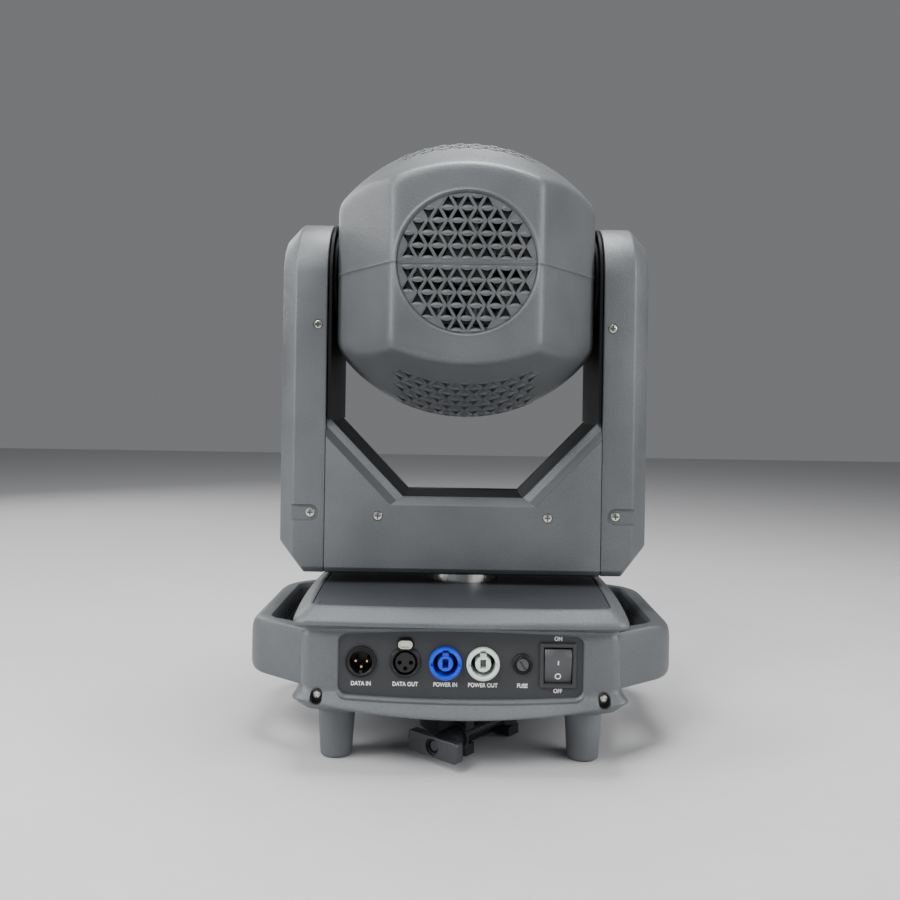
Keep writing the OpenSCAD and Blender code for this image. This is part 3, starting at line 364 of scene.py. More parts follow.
def plane_through(p, q):
    """Outward normal and distance of the line p-q in a plane view, for points walked anticlockwise."""
    dx, dy = q[0] - p[0], q[1] - p[1]
    length = math.hypot(dx, dy)
    nx, ny = dy / length, -dx / length
    return nx, ny, nx * p[0] + ny * p[1]


FACETS = (plane_through((REAR_SIDE[0], -HEAD_REAR), (HEAD_W, REAR_SIDE[1])),
          plane_through((HEAD_W, CROWN_FRONT), (FRONT_SIDE[0], HEAD_FRONT - FRONT_CHAMFER)),
          plane_through((FRONT_SIDE[0], HEAD_FRONT - FRONT_CHAMFER), (FRONT_SIDE[1], HEAD_FRONT)))


def crown(x, z, z0):
    """How far out a point is, as a share of a round crown whose centre is z0 above the axis."""
    square = x * x + z * z + 1e-9
    reach = z * z0 + np.sqrt((z * z0) ** 2 + square * (CROWN_R ** 2 - z0 ** 2))
    return square / reach


def head_share(p):
    """1 on the head's surface, for points about the tilt axis: a rounded blend of its faces."""
    x, y, z = np.abs(p[..., 0]), p[..., 1], np.abs(p[..., 2])
    rear_slope = (HEAD_TOP - REAR_FACE_TOP) / (HEAD_REAR + CROWN_REAR)
    front_slope = (FRONT_TOP - HEAD_TOP) / (HEAD_FRONT - FRONT_CHAMFER - CROWN_FRONT)
    shares = [-y / HEAD_REAR, y / HEAD_FRONT, x / HEAD_W,
              crown(x, z, -CROWN_DROP),
              crown(x, z - rear_slope * y, -CROWN_DROP - rear_slope * CROWN_REAR),
              crown(x, z - front_slope * y, -CROWN_DROP - front_slope * CROWN_FRONT)]
    for nx, ny, reach in FACETS:
        shares.append((nx * x + ny * y) / reach)
    total = sum(np.clip(s, 0, None) ** ROUNDNESS for s in shares)
    return total ** (1.0 / ROUNDNESS)


def head_height(x, y):
    """Height of the head's surface above the tilt axis at (x, y)."""
    low, high = 0.0, HEAD_TOP + 20
    for _ in range(24):
        mid = (low + high) / 2
        if head_share(np.array([x, y, mid])) < 1:
            low = mid
        else:
            high = mid
    return low


VENT_PITCH = 14.8             # between triangles of the same way up
VENT_ROW = 9.6                # height of a row
HOLE_HALF, HOLE_TALL, HOLE_SAG = 4.85, 8.2, 1.5
PAD_HALF, PAD_TALL, PAD_RISE = 4.2, 1.3, 0.45
RIB_W, RIB_RISE = 0.8, 0.25
SUNK = -0.6                   # the relief's lower edges lie under the surface


def hole_outline(x, low, up):
    """A triangular hole whose base bulges inwards."""
    turn = 1 if up else -1
    margin = (VENT_ROW - HOLE_TALL) / 2
    base = low + margin if up else low + VENT_ROW - margin
    arc = [(x + HOLE_HALF * u, base + turn * HOLE_SAG * (1 - u * u)) for u in (-1, -0.5, 0, 0.5, 1)]
    return arc + [(x, base + turn * HOLE_TALL)]


def lattice(reaches, first):
    """Rows of alternate triangles, each as its x, its lower edge and whether its tip is up."""
    cells = []
    for row, reach in enumerate(reaches):
        for k in range(-reach, reach + 1):
            cells.append((k * VENT_PITCH / 2, first + row * VENT_ROW, (k + row) % 2 == 0))
    return cells


def ridge(shape, a, b, lift):
    """A raised rib from a to b. lift turns a flat point and a height into a point on the surface."""
    steps = 3
    side = Vector((b[1] - a[1], a[0] - b[0], 0)).normalized() * RIB_W / 2
    rings = []
    for i in range(steps + 1):
        u = a[0] + (b[0] - a[0]) * i / steps
        v = a[1] + (b[1] - a[1]) * i / steps
        section = ((-1, SUNK), (-0.55, RIB_RISE), (0.55, RIB_RISE), (1, SUNK))
        rings.append([tuple(lift(u + side.x * across, v + side.y * across, out)) for across, out in section])
    shape.loops(rings)


def lens_pad(shape, x, v, lift):
    """A raised lens-shaped pad at the foot of two facing triangles."""
    rim = []
    for i in range(16):
        a = 2 * math.pi * i / 16
        rim.append((x + PAD_HALF * math.cos(a), v + PAD_TALL * math.sin(a) * abs(math.sin(a)) ** 0.4))
    bottom = [tuple(lift(u, w, SUNK)) for u, w in rim]
    brim = [tuple(lift(u, w, 0.1)) for u, w in rim]
    top = [tuple(lift(x + (u - x) * 0.6, v + (w - v) * 0.5, PAD_RISE)) for u, w in rim]
    shape.loops([bottom, brim, top])


def relief_cells(shape, cells, lift):
    """Ribs along the slanting sides of the cells and pads along their bases."""
    pads = set()
    ribs = set()
    for x, low, up in cells:
        base = low if up else low + VENT_ROW
        tip = low + VENT_ROW if up else low
        pads.add((x, round(base, 3)))
        for end in (x - VENT_PITCH / 2, x + VENT_PITCH / 2):
            ends = sorted([(round(x, 3), round(tip, 3)), (round(end, 3), round(base, 3))])
            ribs.add(tuple(ends))
    for x, base in sorted(pads):
        lens_pad(shape, x, base, lift)
    for a, b in sorted(ribs):
        ridge(shape, a, b, lift)


def shell_grid(side):
    """Outer and inner faces of one half of the head, as rows of points from the rear opening forward."""
    last = math.pi - math.atan2(LENS_OPENING, HEAD_FRONT)
    thetas = [math.atan2(OPENING_R + away, HEAD_REAR) for away, _ in OPENING_BEAD]
    start = thetas[-1] + 0.01
    thetas += [start + (last - start) * i / STEPS_ALONG for i in range(STEPS_ALONG + 1)]
    pushes = [out for _, out in OPENING_BEAD] + [0.0] * (STEPS_ALONG + 1)
    edge = SEAM_BEAD[-1][0] + 0.1
    between = [edge + (180 - 2 * edge) * i / STEPS_ACROSS for i in range(1, STEPS_ACROSS)]
    near = [angle for angle, _ in SEAM_BEAD]
    swell = [out for _, out in SEAM_BEAD]
    phis = [math.radians(a) for a in near + between + [180 - a for a in near[::-1]]]
    swells = np.array(swell + [0.0] * len(between) + swell[::-1])
    outer, inner = [], []
    for theta, push in zip(thetas, pushes):
        ring = np.array([[math.cos(f) * math.sin(theta), -math.cos(theta), math.sin(f) * math.sin(theta)]
                         for f in phis])
        reach = 1 / head_share(ring)
        face = ring * (reach + swells)[:, None]
        face[:, 1] -= push
        wall = ring * (reach - SHELL_T)[:, None]
        for row, rows in ((face, outer), (wall, inner)):
            row[:, 2] = row[:, 2] * side + side * SEAM_GAP + TILT_Z
            rows.append([tuple(p) for p in row])
    return outer, inner


def head_half(side):
    """One moulded half of the head, with its half of the rear grille. side is 1 above and -1 below."""
    name = "upper" if side > 0 else "lower"
    shell = to_object("head_cover_" + name, Shape().sheet(*shell_grid(side)), (MATS["body_grey"],))
    tools = Shape()
    hub = Matrix.Translation((0, 0, TILT_Z)) @ Matrix.Rotation(math.radians(90), 4, "Y")
    tools.lathe([(HUB_HOLE_R, -150), (HUB_HOLE_R, 150)], hub)
    cells = lattice(TOP_ROWS, TOP_START) if side > 0 else lattice(BOTTOM_ROWS, BOTTOM_START)
    cut = sorted((TILT_Z + side * 62, TILT_Z + side * 132))
    for x, low, up in cells:
        tools.prism(hole_outline(x, low, up), *cut)
    combine(shell, tools)

    def lift(u, v, out):
        return (u, v, TILT_Z + side * (head_height(u, v) + out))

    relief = Shape()
    relief_cells(relief, cells, lift)
    finish_piece(shell, "head", ["head_shell_" + name], 40)
    piece("head_vents_" + name, relief, "head", (), "body_grey", smooth=50)
    grille(side, name)


def grille(side, name):
    """Half of the round rear grille, set into the opening in the shell."""
    sunk, thick, gap = 1.5, 1.8, 0.1
    semicircle = [(x, max(z, gap)) for x, z in circle(GRILLE_R, 96)[:49]]
    place = Matrix.Translation((0, sunk - HEAD_REAR, TILT_Z)) @ FACE_REAR
    if side < 0:
        place = Matrix.Translation((0, 0, 2 * TILT_Z)) @ MIRROR_Z @ place
    plate = to_object("head_grille_" + name, Shape().prism(semicircle, -thick, 0.0, place),
                      (MATS["body_grey"],))
    cells = lattice(GRILLE_ROWS, GRILLE_START)
    holes = Shape()
    for x, low, up in cells:
        holes.prism(hole_outline(x, low, up), -6, 3, place)
    combine(plate, holes)

    def lift(u, v, out):
        share = min(1.0, (GRILLE_R - 0.3) / max(math.hypot(u, v), 1e-6))
        return place @ Vector((u * share, v * share, out))

    relief = Shape()
    relief_cells(relief, cells, lift)
    bar = GRILLE_R - 0.4
    relief.prism([(-bar, gap), (bar, gap), (bar, 0.9), (-bar, 0.9)], -0.5, 0.45, place)
    finish_piece(plate, "head", (), 30)
    piece("head_grille_ribs_" + name, relief, "head", (), "body_grey", smooth=50)


def head_front():
    """Stepped ring round the lens."""
    turn = Matrix.Translation((0, 0, TILT_Z)) @ FACE_FRONT
    profile = [(65.4, -14), (66.2, -14), (66.3, 0.4), (69.5, 0.8), (70.4, 1.6), (69.8, 2.4), (66.8, 2.6),
               (65.4, 1.2)]
    ring = Shape().lathe([(r, HEAD_FRONT + out) for r, out in profile], turn, 96, ring=True)
    piece("lens_ring", ring, "head", (), "black_plastic")


head_half(1)
head_half(-1)
head_front()

# ---- yoke ---------------------------------------------------------------------------------

NARROW_D = 35.0               # half depth of the arm's outer side, inside its chamfer
CHAMFER_X = ARM_OUT - 13.5
CUT_X, CUT_Z = 22.0, 25.0     # cut of the arm's lower outer corner
BOTTOM_IN, BOTTOM_UP = 4.5, 5.0         # chamfer along the arm's lower edge
ARM_WALL = 3.0


def arm_hull(grow):
    """Convex form of an arm, with chamfers round its outer side. grow moves its faces outwards."""
    inside, chamfer_x, outside = ARM_IN + min(grow, 0), CHAMFER_X + grow * 0.4, ARM_OUT + grow
    wide, narrow = ARM_D + grow, NARROW_D + grow * 0.4
    bottom = YOKE_Z - grow
    cut_x = ARM_OUT - CUT_X + grow * 0.4
    verts = []
    for x, r in ((inside, wide), (chamfer_x, wide), (outside, narrow)):
        for i in range(33):
            a = math.pi * i / 32
            verts.append((x, r * math.cos(a), TILT_Z + r * math.sin(a)))
    if grow == 0:       # the cavity does without these, so its wall grows thicker downwards
        verts += [(outside, narrow, bottom + CUT_Z), (outside, -narrow, bottom + CUT_Z)]
    for y in (BOTTOM_IN - wide, wide - BOTTOM_IN):
        verts += [(inside, y, bottom), (cut_x, y, bottom)]
    for y in (-wide, wide):
        verts += [(inside, y, bottom + BOTTOM_UP), (cut_x, y, bottom + BOTTOM_UP),
                  (chamfer_x, y, bottom + BOTTOM_UP + (CHAMFER_X - cut_x) * CUT_Z / CUT_X)]
    work = bmesh.new()
    for v in verts:
        work.verts.new(v)
    hull = bmesh.ops.convex_hull(work, input=work.verts)
    spare = [g for g in hull["geom_interior"] + hull["geom_unused"] if isinstance(g, bmesh.types.BMVert)]
    bmesh.ops.delete(work, geom=list(set(spare)), context="VERTS")
    bmesh.ops.dissolve_limit(work, angle_limit=math.radians(0.5), verts=work.verts, edges=work.edges)
    work.verts.index_update()
    points = [tuple(v.co) for v in work.verts]
    faces = [tuple(v.index for v in f.verts) for f in work.faces]
    work.free()
    return points, faces


POCKET_X, POCKET_Z, POCKET_R, POCKET_DEEP = 127.0, 180.3, 6.8, 1.9
ARM_SCREW = (122.5, 336.8)
CROSSBAR_SCREW = (70.6, 178.3)
RECESS, RECESS_R = 0.9, 4.1   # round recesses under the other screws


def stadium(r, reach, steps=20):
    """Half round at the left and open to the right as far as reach."""
    arc = [math.radians(90 + 180 * i / steps) for i in range(steps + 1)]
    return [(r * math.cos(a), r * math.sin(a)) for a in arc] + [(reach, -r), (reach, r)]


def mirrored(obj, name):
    """The left twin of a finished right piece."""
    mesh = obj.data.copy()
    mesh.transform(MIRROR_X)
    mesh.flip_normals()
    twin = bpy.data.objects.new(name, mesh)
    bpy.context.scene.collection.objects.link(twin)
    return twin


def arms():
    """The two arm covers: hollow castings, open on the inside."""
    obj = to_object("arm_shell_right", Shape().add(*arm_hull(0.0)), (MATS["body_grey"],))
    soften(obj, 1.3, 3, 20)
    combine(obj, Shape().add(*arm_hull(-ARM_WALL), Matrix.Translation((-0.5, 0, 0))))
    tools = Shape()
    for end in ENDS:
        tools.prism(stadium(POCKET_R, 40), 0, 8, facing(POCKET_X, POCKET_DEEP - ARM_D, POCKET_Z, end))
        tools.prism(circle(RECESS_R), -RECESS, 5, facing(ARM_SCREW[0], -ARM_D, ARM_SCREW[1], end))
    combine(obj, tools)
    twin = mirrored(obj, "arm_shell_left")
    finish_piece(obj, "yoke", ["arm_cover_right"], 25)
    finish_piece(twin, "yoke", ["arm_cover_left"], 25)


arms()

NOTCH_X, CROSSBAR_TOP = 61.0, 187.6     # the face's upper edge in the middle
SLOPE = 62.2 / 60                       # rise of the face's edge towards the arms
RIM_IN, RIM_UP, RIM_DEEP = 10.5, 6.7, 6.5
RIM_SHARE = 0.69                        # how far across the rim its steeper part begins
SHADE_BAND = (0.04, 0.52)                    # where the painted shade band lies across the rim
COVER_END = ARM_IN - 0.3
COVER_BACK = 40.0


def cover_outline(bottom, notch_x, notch_z, end=COVER_END):
    """Outline of a crossbar cover, with the notch under the head."""
    high = notch_z + (end - notch_x) * SLOPE
    return [(-end, bottom), (end, bottom), (end, high), (notch_x, notch_z), (-notch_x, notch_z),
            (-end, high)]


def rim_corner(share):
    """The corner of the notch, share of the way across the rim, and how deep the rim lies there."""
    return NOTCH_X - RIM_IN * share, CROSSBAR_TOP + RIM_UP * share, BOTTOM_IN * share / RIM_SHARE


def crossbar_cover(name, end):
    """Front or rear cover of the crossbar: a flat face with a sloping rim along its top."""
    step_x, step_z, step_deep = rim_corner(RIM_SHARE)
    rim_x, rim_z, _ = rim_corner(1.0)
    outside = cover_outline(YOKE_Z, rim_x, rim_z)
    inside = cover_outline(YOKE_Z + 3, rim_x + 1.5, rim_z - 3, COVER_END - 2)
    levels = [(-ARM_D, cover_outline(YOKE_Z + BOTTOM_UP, NOTCH_X, CROSSBAR_TOP)),
              (-ARM_D + step_deep, cover_outline(YOKE_Z, step_x, step_z)),
              (-ARM_D + RIM_DEEP, outside),
              (-COVER_BACK, outside),
              (-COVER_BACK, inside),
              (-ARM_D + RIM_DEEP + 0.5, inside),
              (-ARM_D + 3, cover_outline(YOKE_Z + 5, NOTCH_X - 1, CROSSBAR_TOP - 4, COVER_END - 2))]
    shape = Shape().loops([[(x, y, z) for x, z in outline] for y, outline in levels], end)
    obj = to_object("crossbar_shell_" + name, shape, (MATS["body_grey"],))
    soften(obj, 0.45, 2, 25)
    tools = Shape()
    x, z = CROSSBAR_SCREW
    for side in (-1, 1):
        tools.prism(circle(RECESS_R), -RECESS, 5, facing(side * x, -ARM_D, z, end))
    combine(obj, tools)
    finish_piece(obj, "yoke", ["crossbar_cover_" + name], 25)


def rim_shade_band(name, end):
    """Dark bands along the outer part of the two slanting rims: painted shade that stands in for the shadow on
    them.
    """
    corners = []
    for share in SHADE_BAND:
        x, z, deep = rim_corner(share)
        pair = [(x, deep - ARM_D, z), (COVER_END, deep - ARM_D, z + (COVER_END - x) * SLOPE)]
        corners += pair if share == SHADE_BAND[0] else pair[::-1]
    shape = Shape()
    for side in (-1, 1):
        shape.loops([[(side * x, y + out, z) for x, y, z in corners] for out in (-0.3, 0.8)], end)
    piece("crossbar_rim_shade_" + name, shape, "yoke", (), "black_steel", mats=(BEZEL,))


for make in (crossbar_cover, rim_shade_band):
    make("rear", Matrix())
    make("front", MIRROR_Y)

YOKE_HEAD, CORNER_HEAD, DECK_HEAD = (3.75, 1.5), (3.2, 1.9), (2.5, 0.7)   # radius and height


def screw(shape, recesses, place, r, rise):
    """Domed screw head with a shank, and the cross that is cut into it."""
    dome = [(r, 0), (r, rise * 0.35), (r * 0.86, rise * 0.75), (r * 0.5, rise * 0.97), (r * 0.2, rise)]
    shape.lathe([(1.5, -5), (1.5, 0)] + dome, place, 32)
    w, reach = r * 0.16, r * 0.66
    cross = [(w, w), (w, reach), (-w, reach), (-w, w), (-reach, w), (-reach, -w), (-w, -w), (-w, -reach),
             (w, -reach), (w, -w), (reach, -w), (reach, w)]
    recesses.prism(cross, rise - 1.6, rise + 1, place)


def screw_set(name, spots, body, node):
    """One piece of many screw heads. A spot is a frame, a radius and a height."""
    heads, recesses = Shape(), Shape()
    for place, r, rise in spots:
        screw(heads, recesses, place, r, rise)
    obj = to_object(name, heads, (MATS["screw_steel"],))
    combine(obj, recesses)
    finish_piece(obj, body, [node], 30)


def yoke_screws():
    spots = []
    for end in ENDS:
        for side in (-1, 1):
            for x, deep, z in ((POCKET_X, POCKET_DEEP, POCKET_Z), (ARM_SCREW[0], RECESS, ARM_SCREW[1]),
                               (CROSSBAR_SCREW[0], RECESS, CROSSBAR_SCREW[1])):
                spots.append((facing(side * x, deep - ARM_D, z, end), *YOKE_HEAD))
    screw_set("yoke_screw_heads", spots, "yoke", "yoke_screws")


yoke_screws()

# ---- base ---------------------------------------------------------------------------------

LIP_W, LIP_D = 124.0, 136.0   # half size of the lips at the corners
BOW_W, BOW_D = 7.0, 5.0       # how far the lips bow out in the middle of each side


def base_loop(z, inset, bow=0.0, arch=0.0, corner=6.0):
    """A loop round the base. The sides bow out and the loop drops by arch in their middles."""
    points = []
    for x, y in rounded(LIP_W - inset, LIP_D - inset, corner, side=20):
        along_x = max(0.0, 1 - (x / (LIP_W - inset)) ** 2)
        along_y = max(0.0, 1 - (y / (LIP_D - inset)) ** 2)
        px = x * (1 + bow * BOW_W * along_y * abs(x / LIP_W) ** 3 / LIP_W)
        py = y * (1 + bow * BOW_D * along_x * abs(y / LIP_D) ** 3 / LIP_D)
        points.append((px, py, z - arch * min(1.0, along_x + along_y)))
    return points


WINDOW_HALF, WINDOW_LOW, WINDOW_HIGH = 90.4, 56.8, 100.4
WINDOW_BOW, WINDOW_CORNER = 3.1, 5.5
# How much wider the window is at each depth: it flares out to the rear
WINDOW_FLARE = ((-150, 4.0), (-131.4, 2.2), (-130.7, 0.9), (-129.8, 0.25), (-128.6, 0.0), (-122, 0.0))
CORNER_SPOT = (106.0, -129.8, 55.6)     # floor of the screw pocket at a corner
CORNER_W, CORNER_H = 4.5, 5.7           # its half width and half height
DECK_SPOT = (105.0, 118.0, 119.7)
DISPLAY_LOW, DISPLAY_HIGH = (-61, 124, 65), (61, 150, 104)
PAN_HOLE_R = 32.3
# Loops of the cover from its lower edge up its outside: height, inset, bow and arch
COVER_OUTSIDE = (
    (42.0, 14.5, 0.9, 0.0), (45.3, 8.0, 0.9, 3.0), (52.9, 1.4, 1.0, 11.0), (54.2, 0.3, 1.0, 12.4),
    (55.6, 0.0, 1.0, 13.0), (56.8, 0.5, 0.98, 12.4), (60.0, 3.6, 0.5, 9.4), (61.8, 4.7, 0.2, 7.8),
    (64.4, 5.0, 0.0, 5.4), (70.0, 5.0, 0.0, 3.0), (98.6, 5.0, 0.0, -0.5), (100.6, 5.4, 0.0, -1.0),
    (102.4, 6.2, 0.1, -1.0), (104.4, 6.1, 0.3, -1.0), (106.0, 4.4, 0.6, -0.8), (107.4, 1.9, 0.9, -0.3),
    (108.8, 0.4, 1.0, 0.0), (110.6, 0.0, 1.0, 0.0), (112.4, 0.5, 1.0, 0.0), (113.8, 1.7, 1.0, 0.0),
    (118.4, 7.0, 0.95, 0.0), (120.2, 9.2, 0.9, 0.0), (121.0, 10.8, 0.9, 0.0))
# And down its inside, past the ledge that carries the deck
COVER_INSIDE = (
    (121.0, 12.0, 0.9, 0.0), (118.0, 12.2, 0.9, 0.0), (118.0, 26.0, 0.5, 0.0), (115.5, 26.0, 0.5, 0.0),
    (115.5, 8.6, 0.0, 0.0), (66.0, 8.2, 0.0, 0.0), (56.0, 8.5, 0.2, 6.0), (50.0, 12.0, 0.5, 3.0),
    (44.5, 16.0, 0.9, 0.0))


def window_outline(grow=0.0):
    """The connector window: long edges that bow out, and round corners."""
    half = (WINDOW_HIGH - WINDOW_LOW) / 2
    wide = WINDOW_HALF + grow
    points = []
    for x, y in rounded(wide, half + grow, WINDOW_CORNER + grow, side=20, arc=8):
        bow = WINDOW_BOW * (1 - (x / wide) ** 2)
        points.append((x, WINDOW_LOW + half + y + bow * y / half))
    return points


def corner_frame(side, end, up=0.0):
    """The floor of a corner's screw pocket."""
    x, y, z = CORNER_SPOT
    return facing(side * x, y, z + up, end)


def base_cover():
    """The moulded cover with its lips, connector window, screw pockets and display opening."""
    loops = [base_loop(z, inset, bow, arch, max(1.0, 9.0 - inset * 0.2))
             for z, inset, bow, arch in COVER_OUTSIDE + COVER_INSIDE]
    obj = to_object("base_shell", Shape().loops(loops, ring=True), (MATS["body_grey"],))
    tools = Shape()
    tools.loops([[(x, y, z) for x, z in window_outline(grow)] for y, grow in WINDOW_FLARE])
    for end in ENDS:
        for side in (-1, 1):
            tools.prism(rounded(CORNER_W, CORNER_H, CORNER_W - 0.1, arc=8), 0, 12, corner_frame(side, end))
    tools.box(DISPLAY_LOW, DISPLAY_HIGH)
    combine(obj, tools)
    finish_piece(obj, "root", ["base_cover"], 32)


def base_tray():
    rows = [base_loop(z, inset, 0.9) for z, inset in ((40.0, 18.0), (39.9, 17.0), (41.9, 14.6), (44.2, 17.0))]
    piece("base_tray", Shape().loops(rows), "root", ["base_bottom"], "body_grey")


def deck():
    """The sheet let into the top of the cover."""
    rows = [base_loop(z, inset, 0.9) for z, inset in ((118.1, 12.6), (120.2, 12.6), (120.7, 13.2))]
    obj = to_object("deck_sheet", Shape().loops(rows), (DECK_PAINT,))
    tools = Shape().lathe([(PAN_HOLE_R, 110), (PAN_HOLE_R, 125)])
    x, y, z = DECK_SPOT
    for spot in ((-x, -y), (-x, y), (x, -y), (x, y)):
        tools.prism(circle(DECK_HEAD[0] + 0.2, 24, *spot), z, z + 4.3)
    combine(obj, tools)
    finish_piece(obj, "root", ["deck_plate"])


def base_screws():
    spots = []
    for end in ENDS:
        for side in (-1, 1):
            x, y, z = DECK_SPOT
            spots.append((corner_frame(side, end, 1.0), *CORNER_HEAD))
            spots.append((end @ Matrix.Translation((side * x, y, z)), *DECK_HEAD))
    screw_set("base_screw_heads", spots, "root", "base_screws")


def pocket_shade_cups():
    """Dark cups in the corner pockets, round the screw heads: painted shade that stands in for the shadow inside
    the pockets.
    """
    shape = Shape()
    sizes = ((0.1, -0.6), (0.1, 3.4), (0.35, 3.6), (0.8, 3.5), (0.8, 0.1))     # inset and height
    for end in ENDS:
        for side in (-1, 1):
            loops = [[(u, v, z) for u, v in rounded(CORNER_W - t, CORNER_H - t, CORNER_W - 0.2 - t, arc=8)]
                     for t, z in sizes]
            shape.loops(loops, corner_frame(side, end))
    piece("pocket_shade_cups", shape, "root", (), "black_plastic", smooth=30)


def feet():
    """Four tapered feet with round lower edges."""
    shape = Shape()
    spot_x, spot_y = 95.5, 97.0
    r, top = FOOT_HIGH[0] - spot_x, FOOT_HIGH[2]
    profile = [(9.4, 0.0), (10.8, 0.4), (11.8, 1.3), (12.3, 2.8), (r - 0.3, top - 6), (r, top - 2), (r, top)]
    for x in (-spot_x, spot_x):
        for y in (-spot_y, spot_y):
            shape.lathe(profile, Matrix.Translation((x, y, 0)), 48)
    piece("foot_set", shape, "root", ["feet"], "foot_grey", smooth=40)


HANDLE_ROOT, HANDLE_REACH = 119.6, 104.0      # where a handle's struts start at the body
SHOULDER = 66.0               # half length of the bar between its round shoulders
GRIP_IN, GRIP_OUT, GRIP_HALF = 127.0, 153.0, 66.0
GRIP_SPREAD = 0.009           # the gap is longer beside the body, per mm of depth
# Height above the handle's lower edge and inset of each loop
HANDLE_LEVELS = ((0, 4.4), (0.9, 2.2), (2.8, 0.7), (6, 0.0), (30, 0.0), (35, 0.5), (38.5, 1.6), (41.2, 3.6),
                 (42.8, 6.2), (43.4, 9.0))
GRIP_LEVELS = ((-5, 1.0), (1.5, 0.0), (38, 0.0), (41, 0.6), (43, 2.0), (50, 6.0))
RIB_PITCH, RIB_COUNT = 10.5, 11


def handle_plan(inset):
    """Plan of a handle: its struts slope out to a straight bar with round shoulders."""
    out, shoulder = HANDLE_OUT - inset, SHOULDER + inset * 0.5
    bend = (out - 13.0, -shoulder - 9.5), (out, -shoulder), (out, 16.0 - shoulder)
    points = [(HANDLE_ROOT, -HANDLE_REACH)]
    for i in range(13):
        t = i / 12
        weights = (1 - t) ** 2, 2 * t * (1 - t), t * t
        points.append(tuple(sum(w * p[k] for w, p in zip(weights, bend)) for k in (0, 1)))
    return points + [(x, -y) for x, y in points[::-1]]


def grip_plan(grow):
    """Plan of the finger gap: longer beside the body, with round corners."""
    half = (GRIP_OUT - GRIP_IN) / 2
    points = []
    for x, y in rounded(half + grow, GRIP_HALF + grow, 6.0 + grow, arc=6):
        points.append((GRIP_IN + half + x, y * (1 + GRIP_SPREAD * (half - x))))
    return points


def handles():
    """Wing handles: a bar carried by two sloping struts, with ribs inside its grip."""
    low = box_mm("handle_right")[0][2]
    shape = Shape().loops([[(x, y, low + z) for x, y in handle_plan(inset)] for z, inset in HANDLE_LEVELS])
    obj = to_object("handle_shell_right", shape, (MATS["body_grey"],))
    combine(obj, Shape().loops([[(x, y, low + z) for x, y in grip_plan(grow)] for z, grow in GRIP_LEVELS]))
    twin = mirrored(obj, "handle_shell_left")
    ribs = Shape()
    for i in range(RIB_COUNT):
        y = (i - RIB_COUNT // 2) * RIB_PITCH
        ribs.box((GRIP_OUT - 1.6, y - 0.7, low + 5), (GRIP_OUT + 1, y + 0.7, low + 34))
    for z in (low + 14, low + 26):
        ribs.box((GRIP_OUT - 1.3, -58, z), (GRIP_OUT + 1, 58, z + 1.4))
    rib_obj = to_object("handle_ribs_right", ribs, (MATS["body_grey"],))
    rib_twin = mirrored(rib_obj, "handle_ribs_left")
    finish_piece(obj, "root", ["handle_right"], 42)
    finish_piece(rib_obj, "root", ())
    finish_piece(twin, "root", ["handle_left"], 42)
    finish_piece(rib_twin, "root", ())


base_cover()
base_tray()
deck()
base_screws()
pocket_shade_cups()
feet()
handles()

# ---- connector panel ----------------------------------------------------------------------
# Profiles are (radius, height above the panel).

PIN_CIRCLE = 4.2
PIN_ANGLES = (0, 180, 270)
TAB_UP, TAB_HALF, TAB_H = 13.9, 5.6, 3.4      # the release tab's height above its socket, and half size
ROCKER_HALF, ROCKER_FACE, ROCKER_REST = 12.4, 4.9, 11
LABEL_SIZE, LABEL_Z = 4.278, 64.2
LABEL_WIDTH = 0.86            # narrows the letters


def on_panel(node, up=0.0):
    """A frame whose local Z points out of the panel, at a connector's own middle or above it."""
    z = middle("data_in_socket" if node == "data_out_socket" else node)[2]
    return facing(middle(node)[0], PANEL_Y, z + up)


def pin_places(place):
    """Frames at the three contacts of a data socket."""
    for angle in PIN_ANGLES:
        a = math.radians(angle)
        yield place @ Matrix.Translation((PIN_CIRCLE * math.cos(a), PIN_CIRCLE * math.sin(a), 0))


def data_in():
    """Male data socket with three gold pins and a key."""
    place = on_panel("data_in_socket")
    shape = Shape()
    shape.lathe([(8.5, -14), (8.5, 1.9), (8.9, 2.3), (9.6, 2.3), (9.9, 1.5), (10.7, 1.5), (11.0, 2.1),
                 (11.4, 2.1), (11.6, 1.7), (11.6, 0.0), (10.5, 0.0), (10.5, -15)], place, ring=True)
    shape.lathe([(10.4, -16), (10.4, -13.5)], place, 48)
    shape.prism(rounded(1.1, 1.2, 0.5), -13.5, 1.2, place @ Matrix.Translation((0, -7.6, 0)))
    shape.mark = 1
    for pin in pin_places(place):
        shape.lathe([(1.15, -13.6), (1.15, -1.6), (0.69, -1.0)], pin, 20)
    piece("data_in_detail", shape, "root", ["data_in_socket"], "black_plastic", smooth=30,
          mats=(MATS["black_plastic"], GOLD))


def data_out():
    """Female data socket with a hood round the release tab above it."""
    place = on_panel("data_out_socket")
    shape = Shape()
    shape.lathe([(9.0, -12), (9.0, 2.0), (9.4, 2.5), (10.9, 2.5), (11.4, 2.0), (11.4, 0), (10.6, 0),
                 (10.6, -13)], place, ring=True)
    shape.lathe([(7.6, -12.5), (7.6, 1.2), (7.2, 1.6)], place)
    shape.lathe([(10.4, -15), (10.4, -12.2)], place, 48)
    core = to_object("data_out_detail", shape, (MATS["black_plastic"],))
    holes = Shape()
    for hole in pin_places(place):
        holes.lathe([(1.35, -9), (1.35, 0.9), (1.75, 1.8)], hole, 20)
    combine(core, holes)
    # Room for the tab, which slides 2 mm towards the socket when it is pressed
    combine(core, Shape().prism(rounded(6.1, 5.1, 3.4), 0.8, 8, on_panel("data_out_socket", 13.0)))
    finish_piece(core, "root", ["data_out_socket"], 30)
    levels = ((6.0, 0.0), (6.0, 0.6), (6.3, 0.8), (6.6, 0.6), (6.6, 0.0))
    loops = [[(x, y, z) for x, y in rounded(half, half - 2.2, half - 2.4)] for half, z in levels]
    hood = Shape().loops(loops, on_panel("data_out_socket", TAB_UP), ring=True)
    piece("data_out_hood", hood, "root", (), "black_plastic")


